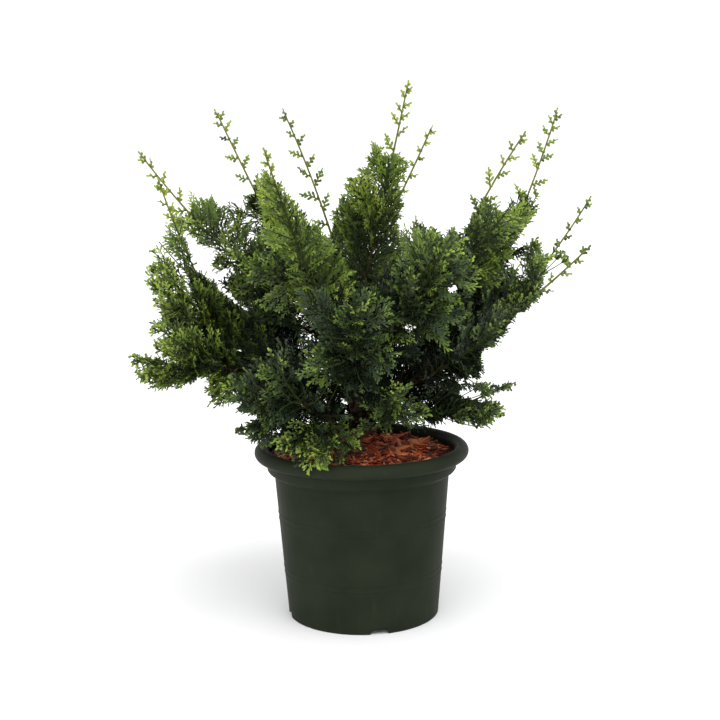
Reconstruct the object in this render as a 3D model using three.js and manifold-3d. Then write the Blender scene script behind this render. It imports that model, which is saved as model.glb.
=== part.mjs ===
// A potted hinoki cypress shrub: a rolled-rim nursery pot with its growing medium, a short trunk,
// the main boughs, and the masses of foliage that they carry.
// Millimetres, +Z up. The origin is the centre of the pot's underside, and the front is towards -Y.
// A heading is an angle round the pot in degrees: 0 is right, 90 is rear, 180 is left, 270 is front.

import * as THREE from 'three';
import { mergeVertices } from 'three/addons/utils/BufferGeometryUtils.js';
import Module from 'manifold-3d';

const wasm = await Module();
wasm.setup();

// Pot
const RIM_RADIUS = 100;
const RIM_TOP = 161.9;
const BEAD_RADIUS = 6.55;
const BEAD_STEPS = 6;
const BEAD_START_ANGLE = -132;
const COLLAR_RADIUS = 88.3;
const COLLAR_FOOT = 139;
const BODY_TOP_RADIUS = 81.7;
const BODY_TOP = 134.6;
const BASE_RADIUS = 70.8;
const WALL = 2;
const FOOT_RING_WIDTH = 3;
const FLOOR_UNDERSIDE = 6.2;
const CENTRE_PAD_RADIUS = 18;
const POT_SEGMENTS = 40;

// Drainage
const NOTCH_COUNT = 4;
const NOTCH_HEADING = 281.5;
const NOTCH_FOOT_WIDTH = 17.5;
const NOTCH_HEAD_WIDTH = 14;
const NOTCH_HEIGHT = 5.4;
const DRAIN_COUNT = 6;
const DRAIN_CIRCLE = 44;
const DRAIN_RADIUS = 5;
const DRAIN_SIDES = 10;

// Growing medium
const MEDIUM_LEVEL = 151;
const MEDIUM_RELIEF = 2.6;
const MEDIUM_WAVES = { x: 0.11, y: 0.13, slowX: 0.05, slowY: 0.09, slowShare: 0.5 };
const MEDIUM_FLAT_RADIUS = 27;
const MEDIUM_RINGS = [MEDIUM_FLAT_RADIUS, 48, 68];

// Trunk: a short stem that leans a little and flares at its foot
const TRUNK_FOOT = [-8, 0];
const TRUNK_FORK = [-3, 4, 203];
const TRUNK_FOOT_RADIUS = 8.6;
const TRUNK_FORK_RADIUS = 6.4;
const FLARE_WIDTH = 5.5;
const FLARE_HEIGHT = 13;
const FLARE_LOBES = 5;
const FLARE_LOBE_DEPTH = 0.16;
const FLARE_CURVE = 1.6;
const TRUNK_UPRIGHT_LENGTH = 12;
const TRUNK_BOW = [-2.5, 1, 0];
const TRUNK_SIDES = 15;
const TRUNK_STEPS = 6;

// The clear gap between pieces that carry each other, and the least room between two masses
const SEAT_GAP = 0.3;
const END_OVERLAP = 1;
const SIDE_OVERLAP = 2.4;
const LEAST_LEAVING_ANGLE = 34;
const MASS_ROOM = 1.8;
const LIMB_ROOM = 1.5;
const LIMB_TEST_STEP = 3;
const SHOOT_TEST_STEP = 5;

// Main boughs: where each leaves the trunk (as a share of its height), its radius there, and its tip
const BOUGH_TIP_SHARE = 0.62;
const BOUGH_SIDES = 5;
const BOUGH_STEPS = 5;
const BOUGH_SAG = 0.13;
const BOUGHS = [
  { name: 'bough_left', at: 0.52, radius: 4.2, heading: 190, reach: 64, height: 232 },
  { name: 'bough_left_upper', at: 0.86, radius: 4.0, heading: 158, reach: 40, height: 284 },
  { name: 'bough_centre', at: 1, radius: 5.0, heading: 110, reach: 6, height: 286 },
  { name: 'bough_front_left', at: 0.80, radius: 3.8, heading: 236, reach: 44, height: 276 },
  { name: 'bough_front', at: 0.62, radius: 3.8, heading: 276, reach: 44, height: 240 },
  { name: 'bough_right_upper', at: 0.70, radius: 4.2, heading: 357, reach: 74, height: 264 },
  { name: 'bough_right', at: 0.46, radius: 4.2, heading: 350, reach: 62, height: 236 },
  { name: 'bough_right_low', at: 0.30, radius: 3.0, heading: 325, reach: 34, height: 194 },
  { name: 'bough_front_low', at: 0.34, radius: 3.6, heading: 228, reach: 50, height: 200 },
  { name: 'bough_rear_upper', at: 0.62, radius: 4.0, heading: 92, reach: 50, height: 272 },
  { name: 'bough_rear_left', at: 0.46, radius: 4.0, heading: 138, reach: 60, height: 226 },
  { name: 'bough_rear_right', at: 0.44, radius: 4.0, heading: 56, reach: 58, height: 226 },
];

// Masses of foliage. Each has one stem, which leaves its bough (at a share of the bough's length) and
// ends in a tip. sag bends the stem's middle down, spread is the length of its widest sprays, and
// leader is the slim end that stands out past them. A fork is a side shoot, which leaves the stem at
// a share of its length and has a tip of its own.
const MASSES = [
  { name: 'left_low', bough: 'bough_left', at: 1, tip: [195, 210, 255], sag: 0.10,
    spread: 66, leader: 20, forks: [{ at: 0.35, tip: [203, 188, 281] }, { at: 0.22, tip: [186, 166, 246] }] },
  { name: 'left_mid', bough: 'bough_left', at: 0.8, tip: [186, 178, 405], sag: 0.2,
    spread: 63, leader: 34, forks: [{ at: 0.34, tip: [196, 176, 330] }] },
  { name: 'left_high', bough: 'bough_left_upper', at: 0.87, tip: [173, 200, 429], sag: 0.14,
    spread: 68, leader: 44, forks: [] },
  { name: 'left_inner', bough: 'bough_left_upper', at: 0.72, tip: [166, 146, 322], sag: 0.12,
    spread: 63, leader: 16, forks: [] },
  { name: 'upper_left', bough: 'bough_left_upper', at: 1, tip: [149, 156, 468], sag: 0.04,
    spread: 68, leader: 62, forks: [{ at: 0.6, tip: [137, 128, 424] }] },
  { name: 'upper_middle', bough: 'bough_rear_right', at: 0.5, tip: [145, 82, 466], sag: -0.14,
    spread: 66, leader: 70, forks: [] },
  { name: 'centre_high', bough: 'bough_centre', at: 1, tip: [12, 47, 488], sag: 0.03,
    spread: 61, leader: 48, forks: [{ at: 0.34, tip: [50, 111, 452] }] },
  { name: 'front_left_high', bough: 'bough_front_left', at: 1, tip: [231, 122, 429], sag: 0.08,
    spread: 68, leader: 24, forks: [{ at: 0.3, tip: [216, 132, 346] }] },
  { name: 'front_centre', bough: 'bough_front', at: 0.86, tip: [268, 146, 317], sag: 0.06,
    spread: 66, leader: 14, forks: [{ at: 0.4, tip: [254, 130, 266] }] },
  { name: 'front_right', bough: 'bough_front', at: 1, tip: [302, 144, 362], sag: 0.10,
    spread: 72, leader: 18, forks: [{ at: 0.4, tip: [288, 142, 326] }] },
  { name: 'right_high', bough: 'bough_right_upper', at: 0.86, tip: [348, 148, 441], sag: 0.08,
    spread: 66, leader: 46, forks: [{ at: 0.36, tip: [333, 156, 396] }] },
  { name: 'right_upper', bough: 'bough_right_upper', at: 1, tip: [22, 206, 464], sag: 0.28,
    spread: 68, leader: 76, forks: [] },
  { name: 'right_mid', bough: 'bough_right', at: 0.86, tip: [6, 214, 382], sag: 0.12,
    spread: 68, leader: 46, forks: [] },
  { name: 'right_side', bough: 'bough_right', at: 1, tip: [347, 205, 342], sag: 0.10,
    spread: 63, leader: 36, forks: [] },
  { name: 'right_low', bough: 'bough_right', at: 0.74, tip: [326, 146, 282], sag: 0.08,
    spread: 66, leader: 14, forks: [{ at: 0.4, tip: [330, 121, 234] }] },
  { name: 'right_foot', bough: 'bough_right_low', at: 1, tip: [351, 134, 192], sag: 0.04,
    spread: 47, leader: 16, forks: [{ at: 0.4, tip: [2, 148, 218] }] },
  { name: 'front_foot', bough: 'bough_right_low', at: 0.7, tip: [284, 106, 226], sag: 0.08,
    spread: 52, leader: 12, forks: [{ at: 0.3, tip: [302, 72, 164] }] },
  { name: 'front_left_low', bough: 'bough_front_low', at: 0.8, tip: [238, 141, 264], sag: 0.08,
    spread: 61, leader: 14, forks: [{ at: 0.45, tip: [246, 104, 266] }] },
  { name: 'left_foot', bough: 'bough_front_low', at: 1, tip: [224, 150, 240], sag: 0.10,
    spread: 59, leader: 14, forks: [{ at: 0.3, tip: [209, 127, 188] }] },
  { name: 'rim_front', bough: 'bough_front_low', at: 0.6, tip: [252, 116, 168], sag: -0.12,
    spread: 52, leader: 12, forks: [{ at: 0.4, tip: [236, 124, 182] }] },
  { name: 'rear_high', bough: 'bough_rear_upper', at: 1, tip: [92, 126, 376], sag: 0.08,
    spread: 70, leader: 24, forks: [] },
  { name: 'rear_left_high', bough: 'bough_rear_upper', at: 0.86, tip: [126, 166, 380], sag: 0.10,
    spread: 70, leader: 26, forks: [] },
  { name: 'rear_right_high', bough: 'bough_rear_upper', at: 0.72, tip: [54, 150, 366], sag: 0.10,
    spread: 70, leader: 24, forks: [] },
  { name: 'left_rear', bough: 'bough_rear_left', at: 0.84, tip: [161, 209, 354], sag: 0.12,
    spread: 66, leader: 20, forks: [{ at: 0.4, tip: [165, 212, 294] }] },
  { name: 'rear_left', bough: 'bough_rear_left', at: 1, tip: [137, 206, 300], sag: 0.12,
    spread: 66, leader: 20, forks: [] },
  { name: 'rear_left_low', bough: 'bough_rear_left', at: 0.72, tip: [142, 186, 226], sag: 0.08,
    spread: 61, leader: 16, forks: [] },
  { name: 'rear_right', bough: 'bough_rear_right', at: 1, tip: [42, 200, 322], sag: 0.12,
    spread: 68, leader: 22, forks: [] },
  { name: 'rear_low', bough: 'bough_rear_right', at: 0.84, tip: [94, 190, 262], sag: 0.10,
    spread: 66, leader: 18, forks: [] },
  { name: 'rear_right_low', bough: 'bough_rear_right', at: 0.7, tip: [44, 178, 236], sag: 0.08,
    spread: 61, leader: 16, forks: [] },
];

// Shoots: the stem of each mass and the forks on it, with their bare length at the root
const STEM = { radius: 2.5, endRadius: 1.2, steps: 4, bare: 11 };
const FORK = { radius: 1.7, endRadius: 1.1, steps: 3, bare: 10 };
const TWIG_SIDES = 3;
const LEAST_TWIG_SHARE = 0.3;
const FORK_LEADER = 24;
const FORK_SPREAD = 0.8;
const LEADER_ROOT = 4;
const LEADER_WIDTH = 14;
const LEADER_TEETH = 3;

// Sprays: their spacing, their turn from one to the next, and how they open and grow back from the tip
const FIRST_SPRAY = 3;
const SPRAY_PITCH = 20;
const SPRAY_TURN = 137.5;
const SPRAY_ANGLE_TIP = 36;
const SPRAY_ANGLE_BASE = 52;
const OPENING_LENGTH = 100;
const YOUNG_SHARE = 0.38;
const GROWTH_LENGTH = 60;
const SPRAY_THICKNESS = 1.8;
const SPRAY_WIDTH = 0.76;
const SPRAY_TEETH = 2;
const BLADE_SHOULDER = 0.14;
const BLADE_FIRST_TOOTH = 0.5;
const BLADE_LAST_TOOTH = 0.78;
const BLADE_LAST_WIDTH = 0.72;
const BLADE_NOTCH_STEP = 0.3;
const BLADE_NOTCH_WIDTH = 0.42;
const BLADE_RIDGE_SHIFT = 0.02;
const NECK_SHARE = 0.8;
const SPRAY_SIZES = [1, 0.85, 0.7, 0.55, 0.42];
const SHORTEST_SPRAY = 13;
const PITCH_PLAY = 0.15;
const LENGTH_PLAY = 0.12;
const TURN_PLAY = 24;
const TILT_PLAY = 50;

// A spray turns its face away from the crown's heart, a little up, and towards the nearer of front and rear
const CROWN_HEART = [0, 0, 235];
const UP_BIAS = 0.35;
const VIEW_BIAS = 1.0;
const FRONT_HALF = 40;

const UP = new THREE.Vector3(0, 0, 1);
const MATERIALS = {
  pot: new THREE.MeshStandardMaterial({ color: 0x2c352b, roughness: 0.55, metalness: 0 }),
  medium: new THREE.MeshStandardMaterial({ color: 0x7a3f26, roughness: 0.95, metalness: 0 }),
  bark: new THREE.MeshStandardMaterial({ color: 0x6b4431, roughness: 0.9, metalness: 0 }),
  foliage: new THREE.MeshStandardMaterial({ color: 0x35562b, roughness: 0.7, metalness: 0 }),
};

// Small helpers
function seeded(seed) {
  let state = seed >>> 0;
  return () => {
    state = (state + 0x6d2b79f5) >>> 0;
    let mixed = Math.imul(state ^ (state >>> 15), state | 1);
    mixed ^= mixed + Math.imul(mixed ^ (mixed >>> 7), mixed | 61);
    return ((mixed ^ (mixed >>> 14)) >>> 0) / 4294967296;
  };
}

function radians(degrees) {
  return THREE.MathUtils.degToRad(degrees);
}

function place([heading, reach, height]) {
  const angle = radians(heading);
  return new THREE.Vector3(reach * Math.cos(angle), reach * Math.sin(angle), height);
}

function mix(low, high, share) {
  return low + (high - low) * share;
}

function ramp(low, high, value) {
  return THREE.MathUtils.smoothstep(value, low, high);
}

function play(random, amount) {
  return 1 + amount * (2 * random() - 1);
}

// Closed solids
function solidOf(geometry) {
  const bare = new THREE.BufferGeometry();
  bare.setAttribute('position', geometry.attributes.position);
  bare.setIndex(geometry.index);
  const merged = mergeVertices(bare, 1e-4);
  const corners = merged.index.array;
  const faces = [];
  for (let i = 0; i < corners.length; i += 3) {
    const [a, b, c] = corners.slice(i, i + 3);
    if (a !== b && b !== c && c !== a) faces.push(a, b, c);
  }
  return new wasm.Manifold(new wasm.Mesh({
    numProp: 3,
    vertProperties: Float32Array.from(merged.attributes.position.array),
    triVerts: Uint32Array.from(faces),
  }));
}

function geometryOf(solid) {
  const mesh = solid.getMesh();
  const geometry = new THREE.BufferGeometry();
  geometry.setAttribute('position', new THREE.BufferAttribute(Float32Array.from(mesh.vertProperties), 3));
  geometry.setIndex(Array.from(mesh.triVerts));
  const flat = geometry.toNonIndexed();
  flat.computeVertexNormals();
  return flat;
}

// Every stem and bough bends evenly, with its middle sagging below the straight line to its tip
function bend(start, direction, tip, sag) {
  const span = start.distanceTo(tip);
  const middle = start.clone().lerp(tip, 0.5).addScaledVector(UP, -sag * span);
  const arm = middle.distanceTo(start);
  return new THREE.QuadraticBezierCurve3(start, start.clone().addScaledVector(direction, arm), tip);
}

function aim(start, tip, sag) {
  const middle = start.clone().lerp(tip, 0.5).addScaledVector(UP, -sag * start.distanceTo(tip));
  return middle.sub(start).normalize();
}

// A limb or stem leaves its parent's end, or its side at an angle that is never too sharp. It starts a
// little way inside the parent and is cut clear of it afterwards, so the two meet with an even gap.
function leave(parent, at, radius, tip, sag) {
  const along = parent.curve.getTangentAt(at);
  if (at === 1) {
    const end = parent.curve.getPointAt(1).addScaledVector(along, -END_OVERLAP);
    return { start: end, direction: aim(end, tip, sag) };
  }
  const root = onBar(parent.curve, parent.steps, at);
  const direction = aim(root, tip, sag);
  const least = radians(LEAST_LEAVING_ANGLE);
  if (direction.angleTo(along) < least) {
    const aside = direction.clone().addScaledVector(along, -direction.dot(along)).normalize();
    direction.copy(along).multiplyScalar(Math.cos(least)).addScaledVector(aside, Math.sin(least));
  }
  const slope = direction.angleTo(along);
  const outside = (parent.radiusAt(at) + radius * Math.abs(Math.cos(slope))) / Math.sin(slope);
  return { start: root.addScaledVector(direction, outside - SIDE_OVERLAP), direction };
}

// A point on a bar's own axis, which runs straight from step to step
function onBar(curve, steps, share) {
  const step = Math.min(Math.floor(share * steps), steps - 1);
  const from = curve.getPointAt(step / steps);
  return from.lerp(curve.getPointAt((step + 1) / steps), share * steps - step);
}

// A round bar is bent along the curve and given its radius at every step. extra makes it larger all
// round, by as much on its flat sides as at its ends.
function bentBar({ curve, radiusAt, sides, steps, swell = () => 1 }, extra = 0) {
  const bar = new THREE.CylinderGeometry(1, 1, 1, sides, steps);
  const frames = curve.computeFrenetFrames(steps, false);
  const position = bar.attributes.position;
  const point = new THREE.Vector3();
  for (let i = 0; i < position.count; i += 1) {
    const share = position.getY(i) + 0.5;
    const step = Math.round(share * steps);
    const x = position.getX(i);
    const z = position.getZ(i);
    const outward = step === 0 ? -1 : Number(step === steps);
    const radius = radiusAt(share) * swell(share, Math.atan2(z, x)) + extra / Math.cos(Math.PI / sides);
    point.copy(curve.getPointAt(share)).addScaledVector(frames.tangents[step], outward * extra);
    point.addScaledVector(frames.normals[step], x * radius);
    point.addScaledVector(frames.binormals[step], -z * radius);
    position.setXYZ(i, point.x, point.y, point.z);
  }
  return bar;
}

// One body is kept, without any loose scrap or sealed hollow
function oneBody(solid) {
  return solid.decompose().sort((one, other) => other.volume() - one.volume())[0];
}

// A spray is a thin blade with teeth along both edges and a low ridge down its middle
function sprayOutline(length, width, teeth, neck) {
  const toothAt = (share) => length * mix(BLADE_FIRST_TOOTH, BLADE_LAST_TOOTH, share);
  const side = [[BLADE_SHOULDER * length, neck]];
  for (let tooth = 0; tooth < teeth; tooth += 1) {
    const share = tooth / (teeth - 1);
    const half = (width / 2) * mix(1, BLADE_LAST_WIDTH, share);
    side.push([toothAt(share), half]);
    if (share < 1) side.push([toothAt(share + BLADE_NOTCH_STEP / (teeth - 1)), half * BLADE_NOTCH_WIDTH]);
  }
  return side;
}

function sprayBlade(length, width, teeth, thickness) {
  const side = sprayOutline(length, width, teeth, thickness * NECK_SHARE);
  const outline = [[0, 0], ...side, [length, 0], ...side.map(([x, y]) => [x, -y]).reverse()];
  const points = outline.map(([x, y]) => [x, y, 0]);
  const ridge = side.filter((_, index) => index % 2 === 0).map(([x]) => x + BLADE_RIDGE_SHIFT * length);
  const top = ridge.map((x) => points.push([x, 0, thickness / 2]) - 1);
  const under = ridge.map((x) => points.push([x, 0, -thickness / 2]) - 1);
  const faces = [];
  const count = outline.length;
  for (let i = 0; i < count; i += 1) {
    const fromRoot = Math.min(i, count - 1 - i);
    const near = Math.max(0, Math.ceil(fromRoot / 2) - 1);
    const next = (i + 1) % count;
    faces.push([next, i, top[near]], [i, next, under[near]]);
  }
  for (let k = 1; k < ridge.length; k += 1) {
    const left = 2 * k + 1;
    const right = count - left;
    faces.push([top[k - 1], top[k], left], [under[k], under[k - 1], left]);
    faces.push([top[k], top[k - 1], right], [under[k - 1], under[k], right]);
  }
  const geometry = new THREE.BufferGeometry();
  geometry.setAttribute('position', new THREE.Float32BufferAttribute(points.flat(), 3));
  geometry.setIndex(faces.flat());
  return geometry;
}

// The blade lies along its axis, with its face turned outwards and a little up
function sprayFrame(root, axis, tilt) {
  const heart = new THREE.Vector3(...CROWN_HEART);
  const side = root.y < FRONT_HALF ? -1 : 1;
  const face = root.clone().sub(heart).normalize().add(new THREE.Vector3(0, side * VIEW_BIAS, UP_BIAS));
  face.addScaledVector(axis, -face.dot(axis)).normalize().applyAxisAngle(axis, tilt);
  const across = new THREE.Vector3().crossVectors(face, axis);
  return new THREE.Matrix4().makeBasis(axis, across, face).setPosition(root);
}

// Pot
function potProfile() {
  const beadCentre = RIM_RADIUS - BEAD_RADIUS;
  const beadHeight = RIM_TOP - BEAD_RADIUS;
  const floorTop = FLOOR_UNDERSIDE + WALL;
  const innerRim = beadCentre - BEAD_RADIUS;
  const profile = [
    [0, 0], [CENTRE_PAD_RADIUS, 0], [CENTRE_PAD_RADIUS, FLOOR_UNDERSIDE],
    [BASE_RADIUS - FOOT_RING_WIDTH, FLOOR_UNDERSIDE], [BASE_RADIUS - FOOT_RING_WIDTH, 0], [BASE_RADIUS, 0],
    [BODY_TOP_RADIUS, BODY_TOP], [COLLAR_RADIUS, COLLAR_FOOT],
  ];
  for (let step = 0; step <= BEAD_STEPS; step += 1) {
    const angle = radians(mix(BEAD_START_ANGLE, 180, step / BEAD_STEPS));
    profile.push([beadCentre + BEAD_RADIUS * Math.cos(angle), beadHeight + BEAD_RADIUS * Math.sin(angle)]);
  }
  profile.push([innerRim, COLLAR_FOOT + WALL], [BODY_TOP_RADIUS - WALL, BODY_TOP + WALL]);
  profile.push([BASE_RADIUS - WALL, floorTop], [0, floorTop]);
  return profile.map(([radius, height]) => new THREE.Vector2(radius, height));
}

function lathe(profile) {
  return new THREE.LatheGeometry(profile, POT_SEGMENTS).rotateX(Math.PI / 2);
}

function notchCutter(heading) {
  const foot = NOTCH_FOOT_WIDTH / 2;
  const head = NOTCH_HEAD_WIDTH / 2;
  const shape = new THREE.Shape();
  shape.moveTo(-foot, -1);
  shape.lineTo(foot, -1);
  shape.lineTo(head, NOTCH_HEIGHT);
  shape.lineTo(-head, NOTCH_HEIGHT);
  const depth = FOOT_RING_WIDTH * 4;
  const cutter = new THREE.ExtrudeGeometry(shape, { depth, bevelEnabled: false });
  cutter.rotateX(Math.PI / 2).translate(0, -(BASE_RADIUS - depth / 2), 0);
  return cutter.rotateZ(radians(heading - 270));
}

function drainCutter(heading) {
  const cutter = new THREE.CylinderGeometry(DRAIN_RADIUS, DRAIN_RADIUS, WALL * 3, DRAIN_SIDES);
  cutter.rotateX(Math.PI / 2);
  return cutter.translate(...place([heading, DRAIN_CIRCLE, FLOOR_UNDERSIDE + WALL / 2]).toArray());
}

function makePot() {
  let pot = solidOf(lathe(potProfile()));
  for (let i = 0; i < NOTCH_COUNT; i += 1) {
    pot = pot.subtract(solidOf(notchCutter(NOTCH_HEADING + (360 * i) / NOTCH_COUNT)));
  }
  for (let i = 0; i < DRAIN_COUNT; i += 1) {
    pot = pot.subtract(solidOf(drainCutter((360 * i) / DRAIN_COUNT)));
  }
  return geometryOf(pot);
}

// Growing medium: it fills the pot, and its top rolls a little away from the trunk
function mediumHeight(x, y) {
  const waves = MEDIUM_WAVES;
  const quick = Math.sin(x * waves.x) * Math.cos(y * waves.y);
  const slow = waves.slowShare * Math.sin(x * waves.slowX - y * waves.slowY);
  const share = ramp(MEDIUM_FLAT_RADIUS, 2 * MEDIUM_FLAT_RADIUS, Math.hypot(x, y));
  return MEDIUM_LEVEL + MEDIUM_RELIEF * (quick + slow) * share;
}

function makeMedium() {
  const innerRim = RIM_RADIUS - 2 * BEAD_RADIUS - SEAT_GAP;
  const foot = FLOOR_UNDERSIDE + WALL + SEAT_GAP;
  const profile = [
    [0, foot], [BASE_RADIUS - WALL - SEAT_GAP, foot],
    [BODY_TOP_RADIUS - WALL - SEAT_GAP, BODY_TOP + WALL], [innerRim, COLLAR_FOOT + WALL + SEAT_GAP],
    [innerRim, MEDIUM_LEVEL], ...MEDIUM_RINGS.map((radius) => [radius, MEDIUM_LEVEL]).reverse(),
    [0, MEDIUM_LEVEL],
  ];
  const geometry = lathe(profile.map(([radius, height]) => new THREE.Vector2(radius, height)));
  const position = geometry.attributes.position;
  for (let i = 0; i < position.count; i += 1) {
    const x = position.getX(i);
    const y = position.getY(i);
    if (position.getZ(i) > MEDIUM_LEVEL - 1e-3) position.setZ(i, mediumHeight(x, y));
  }
  return geometryOf(solidOf(geometry));
}

// Trunk
function makeTrunk() {
  const foot = new THREE.Vector3(...TRUNK_FOOT, MEDIUM_LEVEL + SEAT_GAP);
  const fork = new THREE.Vector3(...TRUNK_FORK);
  const middle = foot.clone().lerp(fork, 0.5).add(new THREE.Vector3(...TRUNK_BOW));
  const upright = foot.clone().addScaledVector(UP, TRUNK_UPRIGHT_LENGTH);
  const curve = new THREE.CubicBezierCurve3(foot, upright, middle, fork);
  const height = foot.distanceTo(fork);
  const flare = (share) => Math.max(0, 1 - (share * height) / FLARE_HEIGHT) ** FLARE_CURVE;
  const radiusAt = (share) => mix(TRUNK_FOOT_RADIUS, TRUNK_FORK_RADIUS, share) + FLARE_WIDTH * flare(share);
  const swell = (share, angle) => 1 + FLARE_LOBE_DEPTH * flare(share) * Math.cos(FLARE_LOBES * angle);
  const trunk = { name: 'trunk', curve, radiusAt, swell, sides: TRUNK_SIDES, steps: TRUNK_STEPS };
  const geometry = bentBar(trunk);
  const position = geometry.attributes.position;
  for (let i = 0; i < position.count; i += 1) {
    if (position.getZ(i) < foot.z + FLARE_HEIGHT / 4) position.setZ(i, foot.z);
  }
  return { ...trunk, solid: solidOf(geometry), clear: solidOf(bentBar(trunk, SEAT_GAP)) };
}

// Boughs
function makeBough(spec, trunk) {
  const tip = place([spec.heading, spec.reach, spec.height]);
  const { start, direction } = leave(trunk, spec.at, spec.radius, tip, BOUGH_SAG);
  const curve = bend(start, direction, tip, BOUGH_SAG);
  const radiusAt = (share) => spec.radius * mix(1, BOUGH_TIP_SHARE, share);
  const bough = { name: spec.name, curve, radiusAt, sides: BOUGH_SIDES, steps: BOUGH_STEPS };
  const solid = oneBody(solidOf(bentBar(bough)).subtract(trunk.clear));
  return { ...bough, solid, clear: solidOf(bentBar(bough, SEAT_GAP)) };
}

// A shoot is a twig that ends in a slim leader: the twig is a bar, and the leader is a blade set in its end
function makeShoot(curve, build, leader, spread) {
  const length = curve.getLength();
  const leaderStart = Math.max(LEAST_TWIG_SHARE, 1 - leader / length);
  const twig = new THREE.QuadraticBezierCurve3(...firstPart(curve, leaderStart));
  const radiusAt = (share) => mix(build.radius, build.endRadius, share);
  return { ...build, curve, twig, twigLength: twig.getLength(), radiusAt, leader, spread };
}

// Shoots of one mass: its stem and forks
function makeShoots(spec, boughs) {
  const bough = boughs.find((candidate) => candidate.name === spec.bough);
  const tip = place(spec.tip);
  const { start, direction } = leave(bough, spec.at, STEM.radius, tip, spec.sag);
  const stem = makeShoot(bend(start, direction, tip, spec.sag), STEM, spec.leader, spec.spread);
  const forks = spec.forks.map((fork) => {
    const root = onBar(stem.twig, stem.steps, fork.at);
    const forkTip = place(fork.tip);
    const curve = bend(root, aim(root, forkTip, spec.sag), forkTip, spec.sag);
    return makeShoot(curve, FORK, Math.min(spec.leader, FORK_LEADER), spec.spread * FORK_SPREAD);
  });
  return { shoots: [stem, ...forks], bough };
}

// The first part of a bend, up to a share of it, is itself a bend
function firstPart(curve, share) {
  const first = curve.v0.clone().lerp(curve.v1, share);
  const second = curve.v1.clone().lerp(curve.v2, share);
  return [curve.v0, first, first.clone().lerp(second, share)];
}

// Points along a limb, each with the limb's radius there, for the tests on room
function spaced(curve, radiusAt, step) {
  const count = Math.ceil(curve.getLength() / step);
  const points = [];
  for (let i = 0; i <= count; i += 1) {
    const point = curve.getPointAt(i / count);
    points.push([point.x, point.y, point.z, radiusAt(i / count)]);
  }
  return points;
}

function nearest(points, x, y, z) {
  let best = Infinity;
  for (const [px, py, pz, radius] of points) {
    const gap = Math.hypot(px - x, py - y, pz - z) - radius;
    if (gap < best) best = gap;
  }
  return best;
}

function clearOfPot(x, y, z) {
  const reach = Math.hypot(x, y);
  const beadCentre = RIM_RADIUS - BEAD_RADIUS;
  const bead = Math.hypot(reach - beadCentre, z - (RIM_TOP - BEAD_RADIUS)) - BEAD_RADIUS;
  if (bead < LIMB_ROOM) return false;
  if (reach > beadCentre) return z > COLLAR_FOOT;
  return z > MEDIUM_LEVEL + 2 * MEDIUM_RELIEF;
}

// A mass keeps to the space that is nearer to its own shoots than to any other mass's
function keepsItsRoom(corners, { own, others, limbs }) {
  return corners.every(({ x, y, z }) => {
    if (!clearOfPot(x, y, z)) return false;
    if (nearest(limbs, x, y, z) < LIMB_ROOM) return false;
    return nearest(others, x, y, z) - nearest(own, x, y, z) > MASS_ROOM;
  });
}

function bladeCorners(frame, length) {
  const side = sprayOutline(length, length * SPRAY_WIDTH, SPRAY_TEETH, 0);
  const flat = [[length * 0.5, 0], [length * 0.75, 0], [length, 0]];
  side.forEach(([x, y]) => flat.push([x, y], [x, -y]));
  return flat.map(([x, y]) => new THREE.Vector3(x, y, 0).applyMatrix4(frame));
}

// The sprays of one shoot turn round it step by step, longer and more open away from its tip
function shootSprays(shoot, random) {
  const sprays = [];
  const turnStart = random() * 360;
  const end = shoot.twigLength - shoot.bare;
  let count = 0;
  for (let back = FIRST_SPRAY; back < end; back += SPRAY_PITCH * play(random, PITCH_PLAY)) {
    const share = 1 - back / shoot.twigLength;
    const along = shoot.twig.getTangentAt(share);
    const aside = new THREE.Vector3().crossVectors(along, UP).normalize();
    aside.applyAxisAngle(along, radians(turnStart + SPRAY_TURN * count + TURN_PLAY * (random() - 0.5)));
    const open = radians(mix(SPRAY_ANGLE_TIP, SPRAY_ANGLE_BASE, ramp(0, OPENING_LENGTH, back)));
    const axis = along.clone().multiplyScalar(Math.cos(open)).addScaledVector(aside, Math.sin(open));
    const grown = mix(YOUNG_SHARE, 1, ramp(0, GROWTH_LENGTH, back));
    const length = shoot.spread * grown * play(random, LENGTH_PLAY);
    const tilt = radians(TILT_PLAY * (random() - 0.5));
    sprays.push({ root: onBar(shoot.twig, shoot.steps, share), axis: axis.normalize(), length, tilt });
    count += 1;
  }
  return sprays;
}

// A twig as a bar, with its leader as a blade from a little way inside the twig's end to the tip
function shootSolids(shoot) {
  const tip = shoot.curve.v2;
  const axis = tip.clone().sub(shoot.twig.v2).normalize();
  const root = shoot.twig.v2.clone().addScaledVector(axis, -LEADER_ROOT);
  const leader = sprayBlade(root.distanceTo(tip), LEADER_WIDTH, LEADER_TEETH, SPRAY_THICKNESS);
  return [
    solidOf(bentBar({ ...shoot, curve: shoot.twig, sides: TWIG_SIDES })),
    solidOf(leader.applyMatrix4(sprayFrame(root, axis, 0))),
  ];
}

// A spray takes the largest size at which it keeps to its mass's room, or is left out
function spraySolid(spray, room) {
  const frame = sprayFrame(spray.root, spray.axis, spray.tilt);
  const lengths = SPRAY_SIZES.map((size) => spray.length * size).filter((length) => length > SHORTEST_SPRAY);
  const fitting = lengths.find((length) => keepsItsRoom(bladeCorners(frame, length), room));
  if (!fitting) return [];
  const blade = sprayBlade(fitting, fitting * SPRAY_WIDTH, SPRAY_TEETH, SPRAY_THICKNESS);
  return [solidOf(blade.applyMatrix4(frame))];
}

// All are fused in one body, which is cut clear of the bough that carries it
function makeMass({ shoots, bough }, random, room) {
  const pieces = shoots.flatMap((shoot) => [
    ...shootSolids(shoot),
    ...shootSprays(shoot, random).flatMap((spray) => spraySolid(spray, room)),
  ]);
  const whole = pieces.reduce((fused, piece) => fused.add(piece));
  return geometryOf(oneBody(whole.subtract(bough.clear)));
}

// The whole object
const plant = new THREE.Group();

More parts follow.
